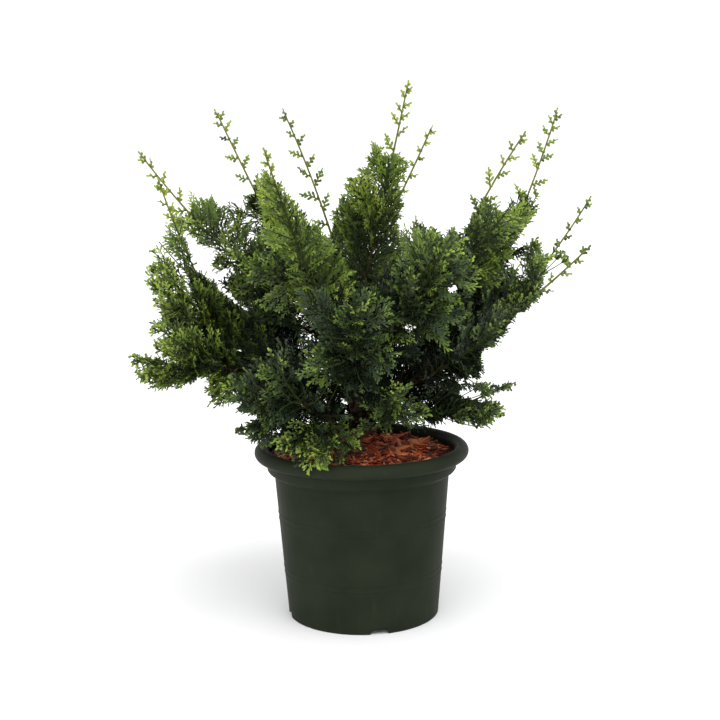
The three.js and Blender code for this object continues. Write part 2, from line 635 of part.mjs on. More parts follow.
function addPart(name, geometry, material) {
  const mesh = new THREE.Mesh(geometry, material);
  mesh.name = name;
  plant.add(mesh);
}

addPart('pot', makePot(), MATERIALS.pot);
addPart('growing_medium', makeMedium(), MATERIALS.medium);
const trunk = makeTrunk();
const boughs = BOUGHS.map((spec) => makeBough(spec, trunk));
for (const limb of [trunk, ...boughs]) {
  addPart(limb.name, geometryOf(limb.solid), MATERIALS.bark);
}

const limbPoints = [trunk, ...boughs].flatMap((limb) => spaced(limb.curve, limb.radiusAt, LIMB_TEST_STEP));
const grown = MASSES.map((spec) => makeShoots(spec, boughs));
const pointsOf = grown.map(({ shoots }) => shoots.flatMap(
  (shoot) => spaced(shoot.curve, () => 0, SHOOT_TEST_STEP),
));
MASSES.forEach((spec, index) => {
  const others = pointsOf.filter((points, other) => other !== index).flat();
  const room = { own: pointsOf[index], others, limbs: limbPoints };
  const geometry = makeMass(grown[index], seeded(index + 1), room);
  addPart(`foliage_${spec.name}`, geometry, MATERIALS.foliage);
});

export default plant;
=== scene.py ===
import math

import bpy
import numpy as np
from mathutils import Matrix, Vector


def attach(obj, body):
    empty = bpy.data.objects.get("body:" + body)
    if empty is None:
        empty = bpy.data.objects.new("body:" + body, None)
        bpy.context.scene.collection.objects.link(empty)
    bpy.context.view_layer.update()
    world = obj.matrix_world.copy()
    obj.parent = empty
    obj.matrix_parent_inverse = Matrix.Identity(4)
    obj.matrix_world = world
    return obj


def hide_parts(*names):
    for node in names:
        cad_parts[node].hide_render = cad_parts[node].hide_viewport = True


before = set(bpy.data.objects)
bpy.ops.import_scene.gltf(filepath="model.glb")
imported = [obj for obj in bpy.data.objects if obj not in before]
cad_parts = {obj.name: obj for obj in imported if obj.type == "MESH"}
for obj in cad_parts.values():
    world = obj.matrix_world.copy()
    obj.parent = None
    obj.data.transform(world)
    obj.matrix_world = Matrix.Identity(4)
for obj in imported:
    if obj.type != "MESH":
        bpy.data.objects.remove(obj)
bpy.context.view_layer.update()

MM = 0.001
UP = np.array([0.0, 0.0, 1.0])
UNIT_X = np.array([1.0, 0.0, 0.0])
UNIT_Y = np.array([0.0, 1.0, 0.0])
NEARLY_ALONG = 0.8

# Pot
RIM_RADIUS = 100
RIM_TOP = 161.9
BEAD_RADIUS = 6.55
BEAD_ANGLES = (-132, 180)
BEAD_POINTS = 34
COLLAR_RADIUS = 88.3
COLLAR_FOOT = 139
COLLAR_TURN = [(-1.2, -1), (0, 0.6)]
BODY_TOP_RADIUS = 81.7
BODY_TOP = 134.6
BODY_TURN = [(-0.25, -3), (0, -0.6), (0.8, 0.2)]
BASE_RADIUS = 70.8
FOOT_CHAMFER = 0.6
WALL = 2
FOOT_RING_WIDTH = 3
FLOOR_UNDERSIDE = 6.2
CENTRE_PAD_RADIUS = 18
POT_SEGMENTS = 192
POT_SHARP_ANGLE = 38
RIB_HEIGHTS = [41, 47, 93, 99]
RIB_STEPS = (-2, -1, -0.5, 0, 0.5, 1, 2)
RIB_RELIEF = 0.35
RIB_HALF_WIDTH = 0.9
NOTCH_COUNT = 4
NOTCH_HEADING = 281.5
NOTCH_FOOT_WIDTH = 17.5
NOTCH_HEAD_WIDTH = 14
NOTCH_HEIGHT = 5.4
NOTCH_DEPTH = 12
NOTCH_BELOW = 1
FRONT_HEADING = 270
DRAIN_COUNT = 6
DRAIN_CIRCLE = 44
DRAIN_RADIUS = 5
DRAIN_SIDES = 24

# Growing medium
MEDIUM_LEVEL = 151
MEDIUM_RELIEF = 2.6
MEDIUM_FLAT_RADIUS = 27
MEDIUM_WAVES = {"x": 0.11, "y": 0.13, "slow_x": 0.05, "slow_y": 0.09, "slow_share": 0.5}
MEDIUM_GRAIN = 0.7
MEDIUM_GRAIN_LIMIT = 1.6
MEDIUM_RINGS = 60
MEDIUM_SEGMENTS = 120
MEDIUM_SEED = 5
MEDIUM_SHARP_ANGLE = 60

# Loose chips and lumps of bark: sizes are least and most, and plays are normal spreads
CHIP_COUNT = 1300
LUMP_COUNT = 26
CHIP_LENGTHS = (8, 26)
CHIP_WIDTHS = (1.4, 4.2)
CHIP_THICKNESS = (0.5, 1.3)
LUMP_SIZES = [(8, 14), (5, 8), (3, 4.5)]
SHORT_CHIPS = 0.4
SHORT_CHIP_SCALE = 0.6
CHIP_MOST_WIDTH = 0.45
CHIP_RISE = (0.2, 3.4)
CHIP_LEAN_RISE = 0.3
CHIP_OUTLINE = [(-0.5, 0.1), (-0.2, 0.5), (0.22, 0.42), (0.5, -0.06), (0.18, -0.5), (-0.24, -0.45)]
CHIP_OUTLINE_PLAY = (0.05, 0.09)
CHIP_CURL = 0.16
CHIP_TWIST = 0.5
CHIP_PITCH = 0.20
CHIP_ROLL = 0.35
CHIP_SEED = 11
CHIP_EDGE = 1

# Trunk and boughs
TRUNK_FOOT = (-8, 0)
TRUNK_FORK = (-3, 4, 203)
TRUNK_FOOT_RADIUS = 8.6
TRUNK_FORK_RADIUS = 6.4
FLARE_WIDTH = 5.5
FLARE_HEIGHT = 13
FLARE_LOBES = 5
FLARE_LOBE_DEPTH = 0.16
FLARE_CURVE = 1.6
TRUNK_UPRIGHT_LENGTH = 12
TRUNK_BOW = (-2.5, 1, 0)
TRUNK_STEPS = 6
TRUNK_MESH = (64, 72)
SEAT_GAP = 0.3
END_OVERLAP = 1
SIDE_OVERLAP = 2.4
LEAST_LEAVING_ANGLE = 34
BOUGH_TIP_SHARE = 0.62
BOUGH_STEPS = 5
BOUGH_SAG = 0.13
BOUGH_MESH = (48, 32)
ROOT_COLLAR = 0.35
ROOT_COLLAR_LENGTH = 7
BURIED_LENGTH = 5

# Furrows of the bark, wandering waves of a few lobes round the limb, each fainter than the one before
BARK_RELIEF = 0.5
BOUGH_RELIEF_SHARE = 0.55
BARK_LOBES = (5, 9, 13, 17)
BARK_WAVES = (0.05, 0.22)
BARK_WANDER = 0.8
BARK_FADE = 1.5
BARK_MEAN = 1.0
KNOT_DEPTH = 0.35
KNOT_WAVE = 0.55
BARK_SHARP_ANGLE = 50
TRUNK_SEED = 3
BOUGH_SEED = 20

# Each bough: its name, the share of the trunk it leaves at, its radius there, and its tip's heading,
# reach and height
BOUGHS = [
    ("bough_left", 0.52, 4.2, 190, 64, 232),
    ("bough_left_upper", 0.86, 4.0, 158, 40, 284),
    ("bough_centre", 1, 5.0, 110, 6, 286),
    ("bough_front_left", 0.80, 3.8, 236, 44, 276),
    ("bough_front", 0.62, 3.8, 276, 44, 240),
    ("bough_right_upper", 0.70, 4.2, 357, 74, 264),
    ("bough_right", 0.46, 4.2, 350, 62, 236),
    ("bough_right_low", 0.30, 3.0, 325, 34, 194),
    ("bough_front_low", 0.34, 3.6, 228, 50, 200),
    ("bough_rear_upper", 0.62, 4.0, 92, 50, 272),
    ("bough_rear_left", 0.46, 4.0, 138, 60, 226),
    ("bough_rear_right", 0.44, 4.0, 56, 58, 226),
]

# Each mass: its name, bough, the share of the bough it leaves at, its stem's tip, sag, the length of its
# widest sprays, its leader's length, its forks (share of the stem, tip), and its tone from 0 dark to 1
# bright.
# The tone is partly the mass's own green and partly painted light and shade for how lit the mass stands.
MASSES = [
    ("left_low", "bough_left", 1, (195, 210, 255), 0.10, 66, 20,
     [(0.35, (203, 188, 281)), (0.22, (186, 166, 246))], 0.62),
    ("left_mid", "bough_left", 0.8, (186, 178, 405), 0.2, 63, 34, [(0.34, (196, 176, 330))], 0.66),
    ("left_high", "bough_left_upper", 0.87, (173, 200, 429), 0.14, 68, 44, [], 0.64),
    ("left_inner", "bough_left_upper", 0.72, (166, 146, 322), 0.12, 63, 16, [], 0.42),
    ("upper_left", "bough_left_upper", 1, (149, 156, 468), 0.04, 68, 62, [(0.6, (137, 128, 424))], 0.50),
    ("upper_middle", "bough_rear_right", 0.5, (145, 82, 466), -0.14, 66, 70, [], 0.46),
    ("centre_high", "bough_centre", 1, (12, 47, 488), 0.03, 61, 48, [(0.34, (50, 111, 452))], 0.74),
    ("front_left_high", "bough_front_left", 1, (231, 122, 429), 0.08, 68, 24,
     [(0.3, (216, 132, 346))], 0.80),
    ("front_centre", "bough_front", 0.86, (268, 146, 317), 0.06, 66, 14, [(0.4, (254, 130, 266))], 0.29),
    ("front_right", "bough_front", 1, (302, 144, 362), 0.10, 72, 18, [(0.4, (288, 142, 326))], 0.40),
    ("right_high", "bough_right_upper", 0.86, (348, 148, 441), 0.08, 66, 46,
     [(0.36, (333, 156, 396))], 0.56),
    ("right_upper", "bough_right_upper", 1, (22, 206, 464), 0.28, 68, 76, [], 0.58),
    ("right_mid", "bough_right", 0.86, (6, 214, 382), 0.12, 68, 46, [], 0.52),
    ("right_side", "bough_right", 1, (347, 205, 342), 0.10, 63, 36, [], 0.46),
    ("right_low", "bough_right", 0.74, (326, 146, 282), 0.08, 66, 14, [(0.4, (330, 121, 234))], 0.24),
    ("right_foot", "bough_right_low", 1, (351, 134, 192), 0.04, 47, 16, [(0.4, (2, 148, 218))], 0.44),
    ("front_foot", "bough_right_low", 0.7, (284, 106, 226), 0.08, 52, 12,
     [(0.3, (302, 72, 164))], 0.54),
    ("front_left_low", "bough_front_low", 0.8, (238, 141, 264), 0.08, 61, 14,
     [(0.45, (246, 104, 266))], 0.25),
    ("left_foot", "bough_front_low", 1, (224, 150, 240), 0.10, 59, 14, [(0.3, (209, 127, 188))], 0.27),
    ("rim_front", "bough_front_low", 0.6, (252, 116, 168), -0.12, 52, 12,
     [(0.4, (236, 124, 182))], 0.54),
    ("rear_high", "bough_rear_upper", 1, (92, 126, 376), 0.08, 70, 24, [], 0.40),
    ("rear_left_high", "bough_rear_upper", 0.86, (126, 166, 380), 0.10, 70, 26, [], 0.44),
    ("rear_right_high", "bough_rear_upper", 0.72, (54, 150, 366), 0.10, 70, 24, [], 0.44),
    ("left_rear", "bough_rear_left", 0.84, (161, 209, 354), 0.12, 66, 20, [(0.4, (165, 212, 294))], 0.34),
    ("rear_left", "bough_rear_left", 1, (137, 206, 300), 0.12, 66, 20, [], 0.44),
    ("rear_left_low", "bough_rear_left", 0.72, (142, 186, 226), 0.08, 61, 16, [], 0.36),
    ("rear_right", "bough_rear_right", 1, (42, 200, 322), 0.12, 68, 22, [], 0.46),
    ("rear_low", "bough_rear_right", 0.84, (94, 190, 262), 0.10, 66, 18, [], 0.38),
    ("rear_right_low", "bough_rear_right", 0.7, (44, 178, 236), 0.08, 61, 16, [], 0.38),
]

# Finer forks than the solids have, by the mass whose stem carries them: the share of the stem, and the tip
FINE_FORKS = {
    "left_mid": [(0.60, (188, 187, 346)), (0.46, (194, 191, 318)), (0.40, (189, 190, 291)),
        (0.52, (191, 191, 331)), (0.30, (198, 193, 307)), (0.26, (197, 191, 280))],
    "left_low": [(0.55, (201, 194, 266)), (0.62, (192, 186, 225)), (0.80, (194, 205, 234)),
        (0.90, (195, 208, 251)), (0.72, (198, 198, 240))],
    "left_high": [(0.50, (172, 136, 331)), (0.62, (172, 150, 350)), (0.70, (161, 152, 385)),
        (0.40, (165, 118, 364)), (0.36, (167, 111, 321)), (0.30, (169, 103, 342)),
        (0.55, (163, 118, 375))],
    "right_mid": [(0.62, (4, 164, 348)), (0.48, (356, 141, 330)), (0.70, (3, 187, 335)),
        (0.80, (6, 196, 330)), (0.35, (356, 152, 290))],
    "right_side": [(0.62, (343, 167, 333)), (0.50, (339, 166, 302))],
    "right_foot": [(0.50, (334, 116, 186)), (0.30, (350, 111, 218)), (0.62, (342, 131, 206)),
        (0.20, (348, 140, 222)), (0.45, (336, 124, 217)), (0.80, (339, 140, 205))],
    "left_foot": [(0.50, (221, 138, 214)), (0.34, (215, 123, 181)), (0.62, (209, 126, 219)),
        (0.20, (212, 131, 189)), (0.50, (227, 124, 220))],
    "front_right": [(0.62, (304, 121, 356)), (0.50, (316, 130, 337))],
    "centre_high": [(0.60, (121, 23, 401)), (0.72, (37, 17, 434)), (0.30, (133, 27, 394)),
        (0.45, (180, 5, 409))],
    "right_high": [(0.72, (344, 112, 396))],
    "right_upper": [(0.70, (21, 166, 393)), (0.82, (19, 184, 393))],
    "right_low": [(0.55, (328, 112, 225)), (0.45, (332, 126, 220))],
    "front_centre": [(0.35, (231, 77, 266))],
    "left_inner": [(0.50, (180, 55, 269))],
}

# Shoots: stems and their two orders of forks, with the length that stays bare at the foot
STEM = {"radius": 2.5, "end": 1.2, "steps": 4, "bare": 11}
FORK = {"radius": 1.7, "end": 1.1, "steps": 3, "bare": 10}
FINE = {"radius": 1.1, "end": 0.8, "steps": 3, "bare": 6}
FINE_LEADER = 4
FINE_SPREAD = 46
FINE_SAG = 0.06
LEAST_TWIG_SHARE = 0.3
FORK_LEADER = 24
FORK_SPREAD = 0.8
LEADER_END_RADIUS = 0.95
STEM_TAPER_AT = (0, 0.75, 1)
STEM_POINTS = 10
STEM_BURIED = 2
LEAST_STEM_PART = 0.02
TWIG_SHARP_ANGLE = 60
BROWN_SHARE = 0.26
SHOWN_STEPS = 40

# The parts of a stem, brown, among the leaves and fresh: its thickness against the solid's, and its sides
STEM_PARTS = [(0.8, 8), (0.55, 5), (0.8, 6)]

# Leaders that rise free of the foliage: the mass, which of its shoots, and the size of the nubs on it
FREE_LEADERS = {
    ("left_mid", 0): 0.7, ("left_high", 0): 0.9, ("upper_left", 0): 1.0, ("upper_middle", 0): 1.0,
    ("centre_high", 0): 0.9, ("centre_high", 1): 0.35, ("front_left_high", 0): 0.6, ("right_high", 0): 1.0,
    ("right_upper", 0): 1.1, ("right_mid", 0): 0.45, ("right_side", 0): 0.7,
}
NUB_FIRST = 5
NUB_PITCH = 13
NUB_PITCH_PLAY = (0.6, 1.35)
NUB_TIP_PITCH = 0.5
NUB_GROWTH = 60
NUB_LENGTHS = (4.0, 14.5)
NUB_LENGTH_PLAY = (0.8, 1.2)
NUB_ANGLES = (34, 54)
NUB_TURN_PLAY = 0.3
NUB_TILT_PLAY = 0.2
NUB_LOWEST = 0.05
NUB_STALK = 1.1
NUB_FACE = np.array([0.0, -1.0, 0.25])
LEADER_TIP = {"back": 3, "length": 6.0}

# Sprays: the source's own, with finer ones between them
FIRST_SPRAY = 3
SPRAY_PITCH = 20
SPRAY_TURN = 137.5
SPRAY_ANGLE_TIP = 36
SPRAY_ANGLE_BASE = 52
OPENING_LENGTH = 100
YOUNG_SHARE = 0.38
GROWTH_LENGTH = 60
SPRAY_WIDTH = 0.76
SPRAY_SIZES = (1, 0.85, 0.7, 0.55, 0.42, 0.3)
SHORTEST_SPRAY = 11
PITCH_PLAY = 0.15
LENGTH_PLAY = 0.12
TURN_PLAY = 24
TILT_PLAY = 50
BETWEEN_SPRAYS = 6
BETWEEN_TURN = 60
BETWEEN_LENGTHS = (0.42, 0.92)
BETWEEN_TILT = 26
MASS_ROOM = 1.8
BETWEEN_ROOM = -45
LIMB_ROOM = 1.5
LIMB_TEST_STEP = 3
SHOOT_TEST_STEP = 5
MASS_SEED = 100

# Points of a spray that have to keep their room, in shares of its length and half its width
SPRAY_CORNERS = [
    (0.5, 0.5), (0.5, -0.5), (0.5, 0), (0.75, 0), (1, 0), (0.4, 1), (0.4, -1), (0.75, 0.7), (0.75, -0.7),
]

# Sprays on the limbs themselves, which fill the crown's heart; their dark tone is painted shade
INNER_PITCH = 3.6
INNER_SPREAD = 44
INNER_LENGTHS = (0.6, 1.1)
HEART_SHADE_TONE = 0.14
INNER_LOWEST = 160
INNER_BACK = 200
INNER_SEED = 200

# A spray turns its face away from the crown's heart, a little up, and towards the nearer of front and rear
CROWN_HEART = np.array([0.0, 0.0, 235.0])
UP_BIAS = 0.35
VIEW_BIAS = 1.5
REAR_BIAS = 0.3
FRONT_HALF = 40

# Fans: each spray is a flat fan of branchlets, which carry sprigs of scale leaves, the longer ones lobed.
# A form has the branchlets' spacing and reach on a small and a large fan, their least reach, the reach below
# which one is a single leaf, and the widths of a sprig's leaf and of such a single one.
FAN_START = 0.05
FAN_FORM = {
    "steps": (2.7, 5.0), "shares": (0.46, 0.42), "least": 3.8, "single": 6.5, "width": 1.5, "short": 2.0,
}
NUB_FORM = {
    "steps": (1.9, 2.4), "shares": (0.42, 0.42), "least": 3.4, "single": 9, "width": 2.0, "short": 2.8,
}
FAN_OUTLINE = [(0, 0.40), (0.12, 0.74), (0.35, 1), (0.7, 0.74), (1, 0.20)]
SMALL_FAN = 12
LARGE_FAN = 50
FAN_DROOP = (-0.06, 0.22)
FAN_CUP = (-0.12, 0.34)
FAN_SWAY = 0.06
FAN_BEND_END = 1.2
LEAST_BRANCHLETS = 3
BRANCHLET_PLAY = 0.2
BRANCHLET_ENDS = (0.02, 0.96)
BRANCHLET_ANGLES = (54, 32)
BRANCHLET_ANGLE_PLAY = 4
BRANCHLET_REACH_PLAY = (0.76, 1.12)
BRANCHLET_CURL = 0.26
BRANCHLET_LIFT = 0.16
SPRIG_STEP = 2.1
SPRIG_ROOT = 0.7
SPRIG_SHARES = (0.44, 0.26)
SPRIG_LENGTHS = (3.8, 9.0)
SPRIG_LENGTH_PLAY = (0.8, 1.15)
SPRIG_ANGLE = 33
SPRIG_ANGLE_PLAY = 0.10
SPRIG_LIFT = 0.14
SPRIG_TEST = 0.6
LOBED_SPRIG = 6.0

# The leaves of a sprig: where on it each starts, its turn in degrees, its length and width as shares, how
# much lighter it is, which is painted shade at the sprig's root and painted light further out, and whether
# only a lobed sprig has it
SPRIG_LEAVES = [
    (0, 0, 0.64, 1, -0.08, False),
    (0.46, 0, 0.54, 1.08, 0.10, False),
    (0.30, 34, 0.40, 0.9, 0.06, True),
    (0.52, -34, 0.34, 0.9, 0.08, True),
]

# The other leaves: along a branchlet, at its end, in place of a short branchlet, and at the fan's own tip.
# Their lightness is painted shade on the leaves along a branchlet and painted light on the others.
SPINE_LEAF = {"pitches": 2.4, "width": 1.25, "lighter": -0.06}
END_LEAF = {"length": 3.6, "lighter": 0.10}
SINGLE_LEAF = {"lighter": 0.06}
TIP_LEAF = {"at": 0.96, "length": 4.0, "outward": 1.1}

# A leaf's own shape: its corners are two at the root, one side of the waist, the tip and the other side
LEAF_CORNERS = 5
LEAF_TRIANGLES = [(0, 1, 2), (0, 2, 4), (4, 2, 3)]
LEAF_ROOT = 0.62
LEAF_WAIST = 0.78
LEAF_FOLD = 0.35
LEAF_ROLL = 22
LEAF_WIDE_LENGTH = 3.2
LEAF_NARROWEST = 0.75

# Stalks of the fans
STALK_RADII = (0.85, 0.45)
STALK_POINTS = 4
STALK_SIDES = 3
STALK_THIN = 0.4
STALK_GROWTH = 60

# The crown as the photo shows it from the front, in its 720 by 720 pixels: plumes that the leaves keep
# inside, and openings where the sky shows through. Only the slim leaders go beyond them.
PLUMES = {
    "low left tongue": [
        (131, 355), (141, 357), (148, 356), (155, 361), (160, 358), (168, 363), (178, 364), (230, 350),
        (262, 360), (262, 417), (256, 412), (252, 416), (247, 409), (243, 419), (239, 406), (227, 402),
        (220, 408), (214, 404), (209, 403), (212, 396), (206, 388), (210, 382), (204, 375), (198, 380),
        (190, 381), (183, 382), (179, 389), (174, 385), (168, 387), (160, 388), (152, 386), (144, 382),
        (138, 375), (134, 366)],
    "flat left plume": [
        (157, 232), (162, 247), (166, 258), (176, 262), (184, 276), (188, 290), (191, 297), (197, 310),
        (205, 334), (235, 345), (240, 362), (180, 364), (168, 357), (158, 353), (155, 345), (152, 336),
        (149, 330), (153, 326), (149, 318), (160, 321), (164, 313), (160, 306), (150, 301), (158, 297),
        (154, 290), (146, 283), (151, 280), (146, 273), (152, 271), (147, 265), (156, 263), (159, 256),
        (148, 251), (156, 249), (153, 243), (158, 240)],
    "slim left plume": [
        (168, 234), (172, 212), (178, 212), (184, 238), (188, 250), (192, 258), (195, 266), (194, 273),
        (199, 274), (205, 277), (207, 281), (215, 284), (219, 292), (229, 299), (240, 309), (252, 316),
        (250, 350), (212, 346), (207, 334), (200, 325), (196, 318), (200, 312), (196, 303), (191, 297),
        (187, 288), (190, 281), (184, 270), (176, 262), (168, 250), (164, 240)],
    "upper left plume": [
        (184, 200), (189, 196), (192, 189), (196, 194), (200, 200), (206, 202), (214, 198), (218, 207),
        (224, 209), (229, 197), (234, 204), (241, 207), (247, 213), (246, 203), (250, 196), (256, 188),
        (262, 192), (268, 240), (262, 262), (236, 270), (228, 270), (222, 272), (216, 276), (214, 262),
        (218, 254), (215, 249), (208, 248), (204, 243), (199, 246), (197, 238), (188, 231), (180, 228),
        (174, 222), (182, 218), (188, 214), (191, 207)],
    "dark lace": [
        (236, 268), (262, 240), (290, 262), (300, 300), (300, 345), (240, 345), (252, 315), (246, 306),
        (240, 302), (232, 296), (228, 289), (220, 283), (226, 280), (231, 276)],
    "bright plume": [
        (266, 168), (270, 178), (275, 176), (279, 187), (286, 194), (292, 203), (300, 210), (304, 216),
        (304, 221), (310, 222), (318, 226), (322, 236), (330, 240), (345, 262), (350, 300), (300, 320),
        (290, 300), (286, 262), (270, 246), (264, 233), (262, 216), (260, 200), (257, 188)],
    "centre column": [
        (340, 206), (341, 198), (347, 195), (348, 186), (345, 179), (352, 178), (360, 180), (358, 172),
        (364, 170), (370, 166), (368, 157), (373, 157), (371, 145), (377, 146), (381, 150), (384, 157),
        (391, 155), (398, 156), (402, 161), (408, 159), (406, 168), (404, 176), (398, 182), (400, 192),
        (401, 206), (399, 214), (399, 225), (398, 234), (402, 240), (402, 300), (345, 300), (328, 262),
        (328, 240), (334, 228), (331, 214)],
    "centre right fans": [
        (398, 240), (402, 232), (408, 225), (413, 226), (419, 220), (424, 226), (428, 233), (434, 227),
        (439, 235), (444, 240), (448, 234), (453, 222), (457, 233), (461, 238), (463, 227), (468, 227),
        (472, 217), (476, 214), (500, 240), (470, 300), (430, 312), (380, 280)],
    "upper right plumes": [
        (476, 212), (480, 202), (484, 197), (490, 203), (497, 203), (500, 210), (504, 215), (509, 212),
        (512, 198), (517, 205), (520, 191), (526, 187), (531, 190), (533, 182), (537, 192), (540, 198),
        (534, 204), (537, 207), (534, 216), (528, 223), (521, 229), (517, 239), (511, 246), (500, 270),
        (470, 262)],
    "right plumes": [
        (511, 246), (517, 250), (523, 247), (527, 240), (531, 243), (534, 235), (538, 243), (544, 247),
        (541, 254), (546, 258), (556, 249), (563, 252), (570, 259), (566, 265), (557, 262), (550, 259),
        (544, 264), (546, 272), (540, 276), (542, 283), (538, 289), (541, 294), (526, 309), (516, 312),
        (511, 319), (506, 322), (504, 333), (497, 338), (493, 346), (487, 346), (480, 352), (478, 358),
        (481, 368), (478, 377), (470, 374), (462, 379), (455, 375), (440, 280)],
    "low right plumes": [
        (455, 377), (458, 384), (470, 380), (480, 383), (490, 384), (500, 386), (510, 383), (518, 380),
        (511, 388), (502, 392), (492, 394), (484, 397), (476, 396), (470, 390), (463, 391), (457, 394),
        (461, 399), (470, 400), (480, 404), (487, 400), (495, 403), (501, 406), (505, 414), (499, 417),
        (494, 423), (485, 427), (476, 427), (470, 423), (462, 421), (452, 420), (446, 415), (440, 421),
        (432, 424), (425, 428), (415, 430), (405, 428), (396, 425)],
    "heart": [
        (240, 340), (262, 345), (300, 320), (345, 270), (402, 280), (440, 300), (470, 330), (456, 378),
        (440, 400), (420, 420), (396, 425), (390, 428), (384, 432), (380, 441), (375, 444), (374, 452),
        (368, 457), (364, 450), (355, 452), (336, 470), (330, 462), (325, 468), (322, 478), (310, 478),
        (296, 474), (290, 464), (283, 460), (280, 468), (275, 472), (268, 464), (270, 455), (262, 453),
        (260, 445), (256, 436), (258, 421), (262, 417), (250, 380)],
    "low left tip": [
        (235, 430), (243, 426), (252, 423), (260, 421), (264, 448), (257, 440), (250, 439), (247, 434),
        (238, 433)],
    "sprig on the mulch": [
        (375, 443), (384, 440), (392, 448), (400, 455), (406, 463), (398, 461), (388, 455)],
}

# Openings, in the same pixels: middle, half width and half height
OPENINGS = [
    (236, 234, 5, 5), (252, 238, 6, 4), (245, 253, 4, 3), (231, 273, 6, 3), (408, 329, 7, 5),
    (396, 346, 4, 3), (404, 346, 3, 2), (396, 357, 2, 3), (452, 290, 6, 5), (441, 289, 3, 3),
    (512, 264, 4, 7), (522, 278, 7, 2), (327, 402, 4, 4), (236, 393, 5, 3), (238, 403, 6, 3),
    (279, 428, 3, 5), (296, 304, 4, 3), (307, 314, 3, 3), (270, 405, 4, 3), (455, 376, 4, 3),
    (176, 259, 4, 5), (184, 273, 2, 6), (190, 292, 4, 7), (199, 314, 3, 8), (205, 331, 3, 6),
]
OUTLINE_PLAY = 1.6

# The share of the fans that reach across the openings
LACE_SHARE = 0.15

# Shoots that keep to plumes of their own, and shoots whose leaves are darker than their mass's tone
OWN_PLUMES = {
    ("front_left_high", 0): ("bright plume", "heart"),
    ("centre_high", 0): ("centre column", "heart"),
    ("front_right", 0): ("centre right fans", "upper right plumes", "heart"),
}
DARKER_SHOOTS = {("front_left_high", 1): 0.32, ("front_right", 1): 0.08}

# Tones of the leaves, from the inner to the young outer ones, in linear colour. Which tone a leaf takes is
# partly its own colour and partly painted light and shade.
TONES = [
    ("leaves_deep", (0.004, 0.0080, 0.0035)),
    ("leaves_dark", (0.0105, 0.0190, 0.0085)),
    ("leaves_dim", (0.028, 0.048, 0.019)),
    ("leaves_mid", (0.060, 0.098, 0.023)),
    ("leaves_light", (0.108, 0.170, 0.027)),
    ("leaves_bright", (0.168, 0.262, 0.031)),
    ("leaves_tip", (0.255, 0.350, 0.050)),
]

# What makes a leaf lighter or darker: its place on its fan, the fan's own, branchlet's and leaf's play, the
# layer and age of its spray, and how near the crown's heart it sits or turns to it. The place on its fan is
# partly the paler young edge and partly painted shade towards the fan's base; nearness to the heart and
# turning to it give painted shade.
OUTWARD_TONE = 0.36
FAN_PLAY = 0.13
BRANCHLET_TONE_PLAY = 0.05
LEAF_TONE_PLAY = 0.03
OUTWARD_SHARES = (0.45, 0.55)
OUTWARD_BASE = 0.8
MAIN_TONE = 0.05
BETWEEN_TONE = 0.07
LEADER_TONE = -0.10
YOUNG_TONE = 0.25
YOUNG_LENGTH = 45
# Painted shade: leaves near the crown's heart, and on sprays that turn to it, are darker
INNER_SHADE = 0.17
INNER_SHADE_REACH = (130, 40)
UNDER_SHADE = 0.22
UNDER_SHADE_TURN = (0.5, -0.4)

# The sockets of a node that mixes colours: its share, its two colours and its result
MIX_INPUTS = (0, 6, 7)
MIX_RESULT = 2

# Surfaces: the scale, detail and stretch of their grain, and the roughness, sheen and relief that go with it
LEAF_SURFACE = {"grain": (260, 3), "roughness": (0.34, 0.52)}
TWIG_SURFACE = {
    "grain": (420, 4, (1, 1, 0.35)), "roughness": (0.6, 0.85), "sheen": 0.15, "relief": (0.35, 0.0004),
}
BARK_SURFACE = {"grain": (520, 6, (1, 1, 0.16)), "roughness": (0.75, 0.95), "relief": (0.7, 0.0008)}
MULCH_SURFACE = {"grain": (700, 6, (0.5, 0.5, 1)), "roughness": (0.7, 0.95), "relief": (0.6, 0.0006)}
POT_SURFACE = {"grain": (95, 9, (1, 1, 0.22)), "roughness": (0.40, 0.58), "sheen": 0.03}
FLOOR_SURFACE = {"grain": (0.7, 2), "sheen": 0.1}
FLOOR_ROUGHNESS = 0.9

# Colours in linear light, at places of their grain from 0 to 1. A leaf's are factors of its own tone.
LEAF_TINTS = [(0.30, (0.74, 0.74, 0.74)), (0.50, (1, 1, 1)), (0.72, (1.32, 1.22, 1.15))]
STALK_TINTS = [(0.3, (0.016, 0.026, 0.008)), (0.7, (0.052, 0.074, 0.016))]
TWIG_PIECES = [
    ("twigs_bark", [(0.3, (0.026, 0.015, 0.009)), (0.7, (0.085, 0.048, 0.026))]),
    ("twigs_green", STALK_TINTS),
    ("leaders_green", [(0.3, (0.080, 0.100, 0.015)), (0.7, (0.185, 0.195, 0.032))]),
    ("fan_stalks", STALK_TINTS),
]
BARK_TINTS = [(0.28, (0.028, 0.014, 0.009)), (0.50, (0.100, 0.048, 0.029)), (0.74, (0.210, 0.125, 0.082))]
BARK_AGED = (0.055, 0.036, 0.025, 1)
BARK_PATCHES = (60, 3)
POT_TINTS = [(0.32, (0.0150, 0.0195, 0.0116)), (0.68, (0.0205, 0.0260, 0.0155))]
POT_CLOUD = (26, 5)
POT_MARKS = [(0.62, (0, 0, 0)), (0.80, (0.22, 0.22, 0.22))]
POT_DUST = (0.055, 0.060, 0.042, 1)
POT_STIPPLE = (900, 2)
POT_RELIEF = (0.05, 0.0002)
COMPOST_TINTS = [(0.3, (0.020, 0.007, 0.004)), (0.72, (0.100, 0.032, 0.016))]
FLOOR_TINTS = [(0.3, (0.91, 0.91, 0.91)), (0.7, (0.93, 0.93, 0.93))]

